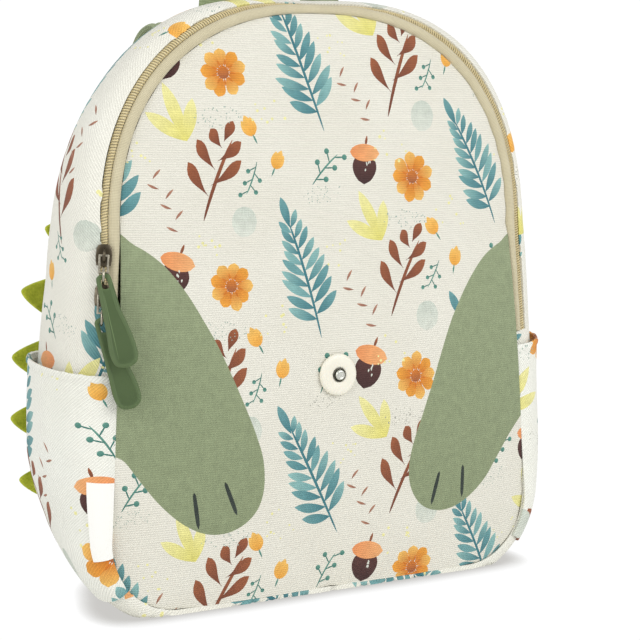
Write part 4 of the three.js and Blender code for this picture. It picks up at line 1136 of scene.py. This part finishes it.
def wire_link(name):
    """A flat wire frame that hangs from the middle of its upper bar."""
    link = block((LINK_WIDTH, LINK_LENGTH, LINK_THICKNESS), (0, (LINK_BAR - LINK_LENGTH) / 2, 0))
    bpy.ops.object.mode_set(mode="EDIT")
    bpy.ops.mesh.select_mode(type="FACE")
    bpy.ops.mesh.select_all(action="DESELECT")
    bpy.ops.object.mode_set(mode="OBJECT")
    for cell in link.data.polygons:
        cell.select = abs(cell.normal.z) > 0.9
    bpy.ops.object.mode_set(mode="EDIT")
    bpy.ops.mesh.inset(thickness=LINK_BAR * MM, depth=0)
    bpy.ops.mesh.bridge_edge_loops()
    bpy.ops.object.mode_set(mode="OBJECT")
    return named(bevelled(link, 0.3), name)


pull_frames = {}
for word, height, ring_lean, swing, lean in PULLS:
    share, middle = front_seam.share_at(height, -1), COIL_START + COIL_WIDTH / 2
    seat = Vector(on_band([share], middle)[0])
    out = Vector(off_band([share], middle)[0]).normalized()
    up = (Vector(on_band([share - NEXT_TO], middle)[0]) - seat).normalized()
    side = (-out).cross(up).normalized()
    lift = COIL_HEIGHT + CLEARANCE + SLIDER_HEIGHT / 2
    slider = cast_slider(f"slider_cast_{word}")
    slider.data.transform(placed(side, up.cross(side), up, seat + out * lift))
    settle(slider, bronze.material, [f"slider_{word}"])

    link_top = seat + out * (lift + SLIDER_HEIGHT / 2 + CLEARANCE + LINK_THICKNESS / 2 + 0.2)
    link = wire_link(f"pull_link_wire_{word}")
    link.data.transform(placed(side, up, side.cross(up), link_top))
    settle(link, pull_wire, [f"pull_link_{word}"])

    # the ring leans out from the link's lower bar
    ring_down = tilted(-up, -ring_lean, side)
    hang = RING_RADIUS - RING_WIRE / 2 - RING_PLAY
    lower_bar = link_top + up * (LINK_BAR - LINK_LENGTH)
    ring_middle = lower_bar + ring_down * (hang - math.hypot(LINK_BAR, LINK_THICKNESS) / 2)
    ring_across = (out - ring_down * out.dot(ring_down)).normalized()
    ring = named(ring_of(RING_RADIUS, RING_WIRE), f"pull_ring_wire_{word}")
    ring.data.transform(placed(ring_across, ring_down, ring_across.cross(ring_down), ring_middle))
    settle(ring, pull_wire, [f"pull_ring_{word}"])

    tab_up = tilted(up, -lean, side)
    tab_out = side.cross(tab_up).normalized()
    tab_up = tilted(tab_up, swing, tab_out)
    rim = ring_middle + ring_down * (hang - math.hypot(TAB_RIM, TAB_THICKNESS) / 2)
    hole = rim - tab_up * (TAB_RIM / 2 + TAB_HOLE)
    pull_frames[word] = placed(tab_up.cross(tab_out), tab_up, tab_out, hole)

# Pull tabs: two soft moulded silicone tabs, narrow at the top and wide and rounded at the
# foot, with a raised rim round a slightly sunken face; the rim carries a painted highlight.
# Each hangs from its ring by a hole.
TAB_OUTLINE = (  # shares of the width, shares of the length down
    (-0.22, 0), (0.2, 0), (0.27, 0.16), (0.3, 0.38), (0.42, 0.58), (0.5, 0.8), (0.44, 0.94), (0.2, 1),
    (-0.12, 1), (-0.36, 0.95), (-0.44, 0.82), (-0.38, 0.6), (-0.33, 0.36), (-0.29, 0.14))
TAB_EDGE = (  # in from the outline, share of thickness
    (0, 0), (0.25, 0.55), (0.8, 0.9), (1.5, 1.0), (2.1, 0.94), (2.55, 0.72))
TAB_EYELET = ((1.1, 0.78), (0.7, 0.98), (0.15, 0.9), (0, 0.45))  # out from the hole, share of thickness
silicone = Surface("sage_silicone", 0.5, Subsurface_Weight=0.06, Subsurface_Radius=(0.0012, 0.0015, 0.0008),
                   Specular_IOR_Level=0.32)
bloom = silicone.noise(silicone.place(), 90.0, 3.0)
dusty = silicone.noise(silicone.place(), 1600.0)
# painted highlight: the rim is coloured lighter than the face where it catches the light
rim_highlight_mask = silicone.span(silicone.node("NewGeometry", out=7), 0.49, 0.56)
face_tone = silicone.mix(bloom, linear(64, 82, 47), linear(73, 92, 55))
silicone.wire(Base_Color=silicone.mix(rim_highlight_mask, face_tone, linear(103, 123, 82)),
              Roughness=silicone.span(bloom, 0, 1, 0.42, 0.6), Normal=silicone.bump(0.25, 0.02, dusty))

outline = rounded(TAB_OUTLINE, 7) * (TAB_WIDTH, -TAB_LENGTH) + (0, TAB_HOLE + TAB_RIM)
step = np.roll(outline, -1, 0) - np.roll(outline, 1, 0)
normal = unit(np.stack([step[:, 1], -step[:, 0]], 1))
normal *= np.sign((normal * (outline - outline.mean(0))).sum())
start = int(np.argmin(np.hypot(outline[:, 0], outline[:, 1] - outline[:, 1].max())))
outline, normal = np.roll(outline, -start, 0), np.roll(normal, -start, 0)
count = len(outline)
turn = np.arange(count) / count * 2 * math.pi
hole = np.stack([np.sin(turn) * (-1 if outline[3, 0] < 0 else 1), np.cos(turn)], 1)
front = [np.column_stack([outline - normal * inset, np.full(count, high * TAB_THICKNESS / 2)])
         for inset, high in TAB_EDGE]
front += [np.column_stack([hole * (TAB_HOLE + out), np.full(count, high * TAB_THICKNESS / 2)])
          for out, high in TAB_EYELET]
rings = front + [ring * (1, 1, -1) for ring in front[:0:-1]]
for word, place in pull_frames.items():
    name = f"pull_tab_silicone_{word}"
    mesh = outward(mesh_from(name, np.concatenate(rings), skin(len(rings), count, closed=True)))
    mesh.transform(place)
    tab = added(name, mesh)
    modified(tab, "SUBSURF", levels=1, render_levels=1)
    settle(tab, silicone.material, [f"pull_tab_{word}"])

# Back panel: lightly padded sage canvas against the wearer's back, hidden in the photo and
# plain. Three curved quilting seams hold its padding, and its edge is turned into the seam.
BACK_MIDDLE = BACK_RISE + 0.48 * PANEL_HEIGHT
BACK_SWELL, BACK_WALL, QUILT_HEIGHTS = 5, 2, (92, 160, 228)
sage_canvas = canvas("sage_canvas", 0.0, linear(163, 176, 140), wefts=1.05, warps=0.75, printed=False)
sage_thread = spun_thread("sage_thread", linear(118, 134, 98), linear(158, 172, 136))


def quilt_curve(x):
    """How far a quilting seam rises towards its ends."""
    return 16 * (x / 90) ** 2


def on_back(spots, rho):
    """The padded face of the back: swollen, sunk along its quilting seams and turned in at its edge."""
    x, z = spots[:, 0], spots[:, 1]
    quilting = sum(np.exp(-((z - height - quilt_curve(x)) / 3.4) ** 2) for height in QUILT_HEIGHTS)
    depth = back_y + BACK_SWELL * (1 - rho ** 3) - 1.3 * quilting * (1 - rho ** 8)
    depth += 0.35 * soft(x, z, 60, 17) * (1 - rho ** 6) - 0.8 * np.clip((rho - 0.975) / 0.025, 0, 1) ** 2
    return np.stack([x, depth, z], 1)


centre = np.array([0, BACK_MIDDLE])
back_line = np.stack(back_seam.at(rim_share), 1)
back_reach = reach_towards(back_line, BACK_MIDDLE)
back_rim = drawn_in(back_line, BACK_MIDDLE, CLEARANCE)
parts = np.concatenate([np.linspace(0.02, 0.95, 90), np.linspace(0.96, 1, 7)])
spots = np.concatenate([[centre]] + [centre + (back_rim - centre) * rho for rho in parts])
rhos = np.concatenate([[0], np.repeat(parts, 420)])
faces = [(0, 1 + k, 1 + (k + 1) % 420) for k in range(420)]
faces += [(first + k, first + 420 + k, first + 420 + (k + 1) % 420, first + (k + 1) % 420)
          for first in range(1, 420 * (len(parts) - 1), 420) for k in range(420)]
mesh = mesh_from("back_panel_pad", on_back(spots, rhos), faces)
give_uv(mesh, "cloth", spots[[i for face in faces for i in face]])
if mesh.polygons[5].normal.y < 0:
    mesh.flip_normals()
back_pad = dress(mesh, sage_canvas, ["back_panel"], BACK_WALL)
quilt_rows = []
for height in QUILT_HEIGHTS:
    wide = 0.94 * PANEL_WIDTH / 2 - (14 if height > 200 else 6)
    line = np.linspace(-wide, wide, 120)
    row = np.stack([line, height + quilt_curve(line)], 1)
    rho = np.hypot(*(row - centre).T) / back_reach(row[:, 0], row[:, 1])
    row, rho = row[rho < 0.97], rho[rho < 0.97]
    quilt_rows.append((on_back(row, rho) + (0, 0.1, 0), np.tile((0.0, 1.0, 0.0), (len(row), 1))))
stitches("back_quilting_thread", quilt_rows, sage_thread, 3.0, 2.3, 0.24)

# Shoulder straps: two padded straps of sage canvas with bound edges and a row of stitches
# inside them. They rise from the upper back, stand out behind the bag and come down to webbing.
STRAP_WIDTH, STRAP_END_WIDTH, STRAP_THICKNESS, STRAP_STITCH_IN = 56, 38, 7.5, 4.6
STRAP_TOP_X, STRAP_TOP, STRAP_LOW_X, STRAP_LOW, STRAP_BOW = 36, BACK_TOP - 30, 97, 34, 39
STRAP_COURSE = (  # shares: down from the upper end, out from the back, sideways to the lower end
    (0.0, 0.0, 0.0), (-0.06, 0.13, 0.01), (-0.105, 0.3, 0.03), (-0.085, 0.54, 0.07), (0.02, 0.78, 0.15),
    (0.19, 0.95, 0.28), (0.38, 1.0, 0.43), (0.54, 1.0, 0.64), (0.68, 0.925, 0.76), (0.84, 0.705, 0.89),
    (1.0, 0.35, 1.0))
WEBBING_END_X, WEBBING_END, WEBBING_WIDTH, WEBBING_THICKNESS = 91, 36, 25, 2
WEBBING_LEAVE, WEBBING_LAND = 9, 11


def back_face_at(x, z):
    """How far back the panel's face lies at a place on it, before its padding is quilted."""
    along = np.roll(back_rim, -1, 0) - back_rim
    normal = np.stack([along[:, 1], -along[:, 0]], 1)
    rho = max(0, np.max((normal @ (np.array([x, z]) - centre)) / (normal * (back_rim - centre)).sum(1)))
    knots = np.array([0, 0.5, 0.88, 1])
    return back_y + np.interp(rho, knots, BACK_SWELL * (1 - knots ** 3))


def through(points, steps=60):
    """Even points along a centripetal curve through the given ones, and its length."""
    points = np.array(points, float)
    points = np.concatenate([[2 * points[0] - points[1]], points, [2 * points[-1] - points[-2]]])
    gaps = np.maximum(np.linalg.norm(np.diff(points, axis=0), axis=1) ** 0.5, 1e-4)
    t = np.arange(steps)[:, None] / steps
    line = []
    for k in range(1, len(points) - 2):
        a, b, c, d = points[k - 1:k + 3]
        before, here, after = gaps[k - 1:k + 2]
        leave = ((b - a) / before - (c - a) / (before + here) + (c - b) / here) * here
        arrive = ((c - b) / here - (d - b) / (here + after) + (d - c) / after) * here
        line.append(b + leave * t + (-3 * b + 3 * c - 2 * leave - arrive) * t ** 2
                    + (2 * b - 2 * c + leave + arrive) * t ** 3)
    line = np.concatenate(line + [[points[-2]]])
    walk = walked(line)
    return line, walk / walk[-1], walk[-1]


def square_to(along, wide):
    """The direction nearest to a given one that is square to the way along."""
    return unit(wide - along * (wide * along).sum(-1, keepdims=True))


class Strap:
    """The middle line of one strap, with its directions at any share of its length."""

    def __init__(self, hand):
        seat = back_face_at(STRAP_TOP_X - STRAP_WIDTH / 2, STRAP_TOP) + CLEARANCE + STRAP_THICKNESS / 2
        bowed = back_y + BACK_SWELL + STRAP_BOW
        self.line, self.shares, self.length = through([
            (hand * (STRAP_TOP_X + (STRAP_LOW_X - STRAP_TOP_X) * side), seat + (bowed - seat) * bow,
             STRAP_TOP + (STRAP_LOW - STRAP_TOP) * down) for down, bow, side in STRAP_COURSE])

    def place(self, share):
        return read_line(np.clip(share, 0, 1), self.shares, self.line)

    def at(self, share, step=0.002):
        """Places, and the ways down, across and out, at shares of the length."""
        share = np.atleast_1d(share)
        down = unit(self.place(share + step) - self.place(share - step))
        wide = square_to(down, np.array([1.0, 0, 0]))
        return self.place(share), down, wide, np.cross(wide, down)


def strap_width(share):
    return STRAP_WIDTH + (STRAP_END_WIDTH - STRAP_WIDTH) * ease((np.asarray(share) - 0.45) / 0.55)


def strap_height(inwards, half):
    """Half the strap's thickness at millimetres in from its edge: binding, stitched groove, padding."""
    pad = STRAP_THICKNESS / 2 * (1 - np.abs(1 - inwards / half) ** 5 * 0.75)
    groove = 1.5 * np.exp(-((inwards - STRAP_STITCH_IN) / 1.3) ** 2)
    binding = 1.45 * np.sqrt(np.clip(1 - ((inwards - 1.5) / 1.5) ** 2, 0, 1))
    return np.where(inwards < 1.5, binding, np.maximum(pad - groove, 1.25))


def strap_section(half):
    """Once round the strap's section: face, side and millimetres in from the edge."""
    walk = [half * 0 + step for step in (0.15, 0.5, 1.0, 1.5, 2.2, 3.0, 3.8, 4.6, 5.6, 6.8, 8.5)]
    walk += [8.5 + (half - 8.5) * part for part in (0.2, 0.4, 0.6, 0.8)]
    for face in (1, -1):
        yield 1, -face, half * 0
        yield from ((face, -face, inwards) for inwards in walk)
        yield face, -face, half
        yield from ((face, face, inwards) for inwards in walk[::-1])


def flat_band(name, course, wide, out, width, points, half_thickness):
    """A band along a course, its half thickness a function of shares of its half width."""
    ring = [(k, 1) for k in np.linspace(-1, 1, points)] + [(k, -1) for k in np.linspace(1, -1, points)]
    rows = [course + wide * (k * width / 2) + out * (face * half_thickness(abs(k))) for k, face in ring]
    return swept(name, np.stack(rows, 1))


webbing = tape_weave("sage_webbing", linear(160, 176, 134), linear(112, 128, 88), rib=1.5)
straps = {}
for word, hand in (("left", -1), ("right", 1)):
    strap = straps[word] = Strap(hand)
    share = np.linspace(0, 1, 260)
    walk = share * strap.length
    middle, down, wide, out = strap.at(share)
    half = strap_width(share) / 2
    ends = np.clip(np.minimum(share, 1 - share) * strap.length / 2.2, 0.02, 1) ** 0.5
    rows = []
    for face_sign, side_sign, inwards in strap_section(half):
        aside = side_sign * (half - inwards)
        height = strap_height(inwards, half) * ends
        height += 0.45 * soft(walk, aside, 46, 70 + hand) * np.clip((inwards - 6) / 8, 0, 1)
        # the inner face creases where the strap bends over at its top
        crease = 0.35 * np.sin(walk * 2 * math.pi / 15 + 2 * soft(walk, inwards, 40, 9))
        crease *= np.exp(-((share - 0.13) / 0.09) ** 2) * np.clip((inwards - 5) / 6, 0, 1)
        height += crease * (face_sign < 0)
        rows.append(middle + wide * aside[:, None] + out * (face_sign * height)[:, None])
    pad = dress(swept(f"strap_pad_{word}", np.stack(rows, 1)), sage_canvas, [f"strap_{word}"])
    thread_rows = []
    for side_sign in (-1, 1):
        for face_sign in (1, -1):
            height = strap_height(np.full(260, STRAP_STITCH_IN), half) + 0.08
            aside = side_sign * (half - STRAP_STITCH_IN)
            line = middle + wide * aside[:, None] + out * (face_sign * height)[:, None]
            thread_rows.append((line[4:-4], (out * face_sign)[4:-4]))
    stitches(f"strap_stitches_{word}", thread_rows, sage_thread, 3.0, 2.3, 0.26)

    # webbing from the strap's lower end to the bag's lower back seam
    end, end_down = (rows[0] for rows in strap.at(1.0)[:2])
    start = end + end_down * 2 * CLEARANCE
    seat = back_face_at(WEBBING_END_X - WEBBING_WIDTH / 2, WEBBING_END + WEBBING_THICKNESS) + CLEARANCE
    landing = np.array([hand * WEBBING_END_X, seat, WEBBING_END])
    t = np.linspace(0, 1, 60)[:, None]
    guides = (start, start + end_down * WEBBING_LEAVE, landing + (0, WEBBING_LAND, 0), landing)
    course = sum(n * (1 - t) ** (3 - k) * t ** k * p for k, (n, p) in enumerate(zip((1, 3, 3, 1), guides)))
    heading = unit(np.gradient(course, axis=0))
    across = square_to(heading, np.array([1.0, 0, 0]))
    mesh = flat_band(f"webbing_band_{word}", course, across, np.cross(across, heading), WEBBING_WIDTH, 15,
                     lambda k: WEBBING_THICKNESS / 2 * (1 - 0.55 * k ** 8))
    band = dress(mesh, webbing, [f"strap_webbing_{word}"])
    band_length = float(walked(course)[-1]) * MM

# Fins: pointed leaves of thick lime green felt, sewn in a row along each strap's outer edge.
FIN_BASE, FIN_REACH, FIN_THICKNESS, FIN_TOP, FIN_END_ROOM, FIN_SEAT = 29, 27, 3, 170, 1.5, 0.3
FIN_SIZES = (0.85, 1, 1.04, 1, 0.8)
# the leaf's outline, in shares of its half base and of its reach
FIN_SIDE = ((-1, 0), (-0.7, 0.45), (-0.35, 0.85), (-0.12, 0.97))
FIN_TIP = ((-0.12, 0.97), (0, 1.03), (0.12, 0.97))
FIN_FAR_SIDE = ((0.12, 0.97), (0.4, 0.85), (0.75, 0.45), (1, 0))
FIN_ROUND = (  # share of the outline, share of the half thickness
    (0.05, -1), (0.55, -1), (0.9, -0.97), (0.97, -0.75), (1.0, -0.35),
    (1.0, 0.35), (0.97, 0.75), (0.9, 0.97), (0.55, 1), (0.05, 1))
felt = Surface("lime_felt", 0.95, Sheen_Weight=0.6, Sheen_Roughness=0.6,
               Sheen_Tint=(*linear(214, 220, 96), 1))
wool = felt.noise(felt.place(), 900.0, 6.0, Roughness=0.7)
fibre = felt.work("ADD", wool, felt.noise(felt.place(), 170.0, 4.0))
felt.wire(Base_Color=felt.mix(felt.span(fibre, 0.75, 1.25), linear(144, 156, 26), linear(192, 197, 62)),
          Normal=felt.bump(0.9, 0.3, fibre))


def bezier(points, count):
    t = np.linspace(0, 1, count, endpoint=False)[:, None]
    degree = len(points) - 1
    return sum(math.comb(degree, k) * (1 - t) ** (degree - k) * t ** k * np.array(p, float)
               for k, p in enumerate(points))


fin_outline = np.concatenate([bezier(FIN_SIDE, 18), bezier(FIN_TIP, 8), bezier(FIN_FAR_SIDE, 18),
                              bezier(((1, 0), (-1, 0)), 16)])
for word, hand in (("left", -1), ("right", 1)):
    strap = straps[word]
    below_arch = np.linspace(0.25, 1, 2000)
    first_fin = float(np.interp(-FIN_TOP, -strap.at(below_arch)[0][:, 2], below_arch))
    last_fin = 1 - (FIN_BASE * FIN_SIZES[-1] / 2 + FIN_END_ROOM) / strap.length
    for k, size in enumerate(FIN_SIZES):
        share = first_fin + (last_fin - first_fin) * k / (len(FIN_SIZES) - 1)
        half, reach = FIN_BASE * size / 2, FIN_REACH * size
        spots_at = share + np.array([-1, 0, 1]) * half / strap.length
        middle, _, wide, _ = strap.at(spots_at)
        edges = middle + wide * (hand * strap_width(spots_at) / 2)[:, None]
        down = unit(edges[2] - edges[0])
        outer = square_to(down, wide[1] * hand)
        root = edges[1] + outer * (max(0, (edges[0] - edges[1]) @ outer) + CLEARANCE + FIN_SEAT)
        outline = fin_outline * (half, reach)
        centre_of_fin = np.array([0, reach * 0.36])
        dice = random.Random(100 * k + hand)
        bow, twist = dice.uniform(0.4, 1.1), dice.uniform(-0.06, 0.06)
        rows = []
        for shrink, high in FIN_ROUND:
            ring = centre_of_fin + (outline - centre_of_fin) * shrink
            bowed = bow * np.sin(np.clip(ring[:, 1] / reach, 0, 1) * math.pi * 0.5) ** 2 * hand
            fuzz = 0.12 * soft(ring[:, 0] * 9, ring[:, 1] * 9 + 40 * high, 14, 5 + k)
            lift = high * FIN_THICKNESS / 2 + bowed + twist * ring[:, 0] * ring[:, 1] / reach + fuzz
            flat_ring = root + down * ring[:, :1] + outer * ring[:, 1:]
            rows.append(flat_ring + np.cross(down, outer) * lift[:, None])
        faces = skin(len(rows), len(outline))
        mesh = outward(mesh_from(f"fin_felt_{word}_{k + 1}", np.concatenate(rows), faces))
        fin = dress(mesh, felt.material, [f"fin_{word}_{k + 1}"])

# Carrying handle: a flat band of wide sage webbing, sewn to the top of the back. It
# twists a quarter turn up to its crown, and is cropped out of the photo and plain.
LOOP_WIDTH, LOOP_THICKNESS, LOOP_SPAN, LOOP_RISE, LOOP_FOOT, LOOP_DROP = 24, 3, 62, 46, 22, 11
LOOP_COURSE = (  # shares of the span sideways, of the foot's height and of the rise
    (-0.5, 0, 0), (-0.5, 1, 0), (-0.38, 1, 0.7), (0, 1, 1), (0.38, 1, 0.7), (0.5, 1, 0), (0.5, 0, 0))
LOOP_STITCH_AT = 0.78
loop_z = BACK_TOP - LOOP_DROP
loop_y = back_face_at((LOOP_SPAN - LOOP_WIDTH) / 2, loop_z) + CLEARANCE + LOOP_THICKNESS / 2
line, line_share, loop_length = through([
    (side * LOOP_SPAN, loop_y, loop_z + foot * LOOP_FOOT + rise * LOOP_RISE)
    for side, foot, rise in LOOP_COURSE])
share = np.linspace(0, 1, 220)
course = read_line(share, line_share, line)
along = unit(np.gradient(course, axis=0))
turn = math.pi * ease((share - 0.18) / 0.64)
wide = square_to(along, np.stack([np.cos(turn), np.sin(turn), 0 * turn], 1))
out = np.cross(along, wide)


def loop_height(k):
    """Half the handle's thickness at a share of its half width: rounded edges, stitched grooves."""
    groove = 0.35 * math.exp(-((k - LOOP_STITCH_AT) / 0.05) ** 2)
    return LOOP_THICKNESS / 2 * (1 - 0.6 * k ** 10) - groove


mesh = flat_band("haul_loop_band", course, wide, out, LOOP_WIDTH, 21, loop_height)
handle = dress(mesh, webbing, ["haul_loop"])
thread_rows = []
for k in (-LOOP_STITCH_AT, LOOP_STITCH_AT):
    for face in (1, -1):
        line = course + wide * (k * LOOP_WIDTH / 2) + out * (face * (LOOP_THICKNESS / 2 - 0.25))
        thread_rows.append((line[3:-3], (out * face)[3:-3]))
stitches("haul_loop_stitches", thread_rows, sage_thread, 3.0, 2.3, 0.24)

low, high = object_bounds()
{"cad": [list(cad_box[0]), list(cad_box[1])], "visual": [list(low), list(high)]}
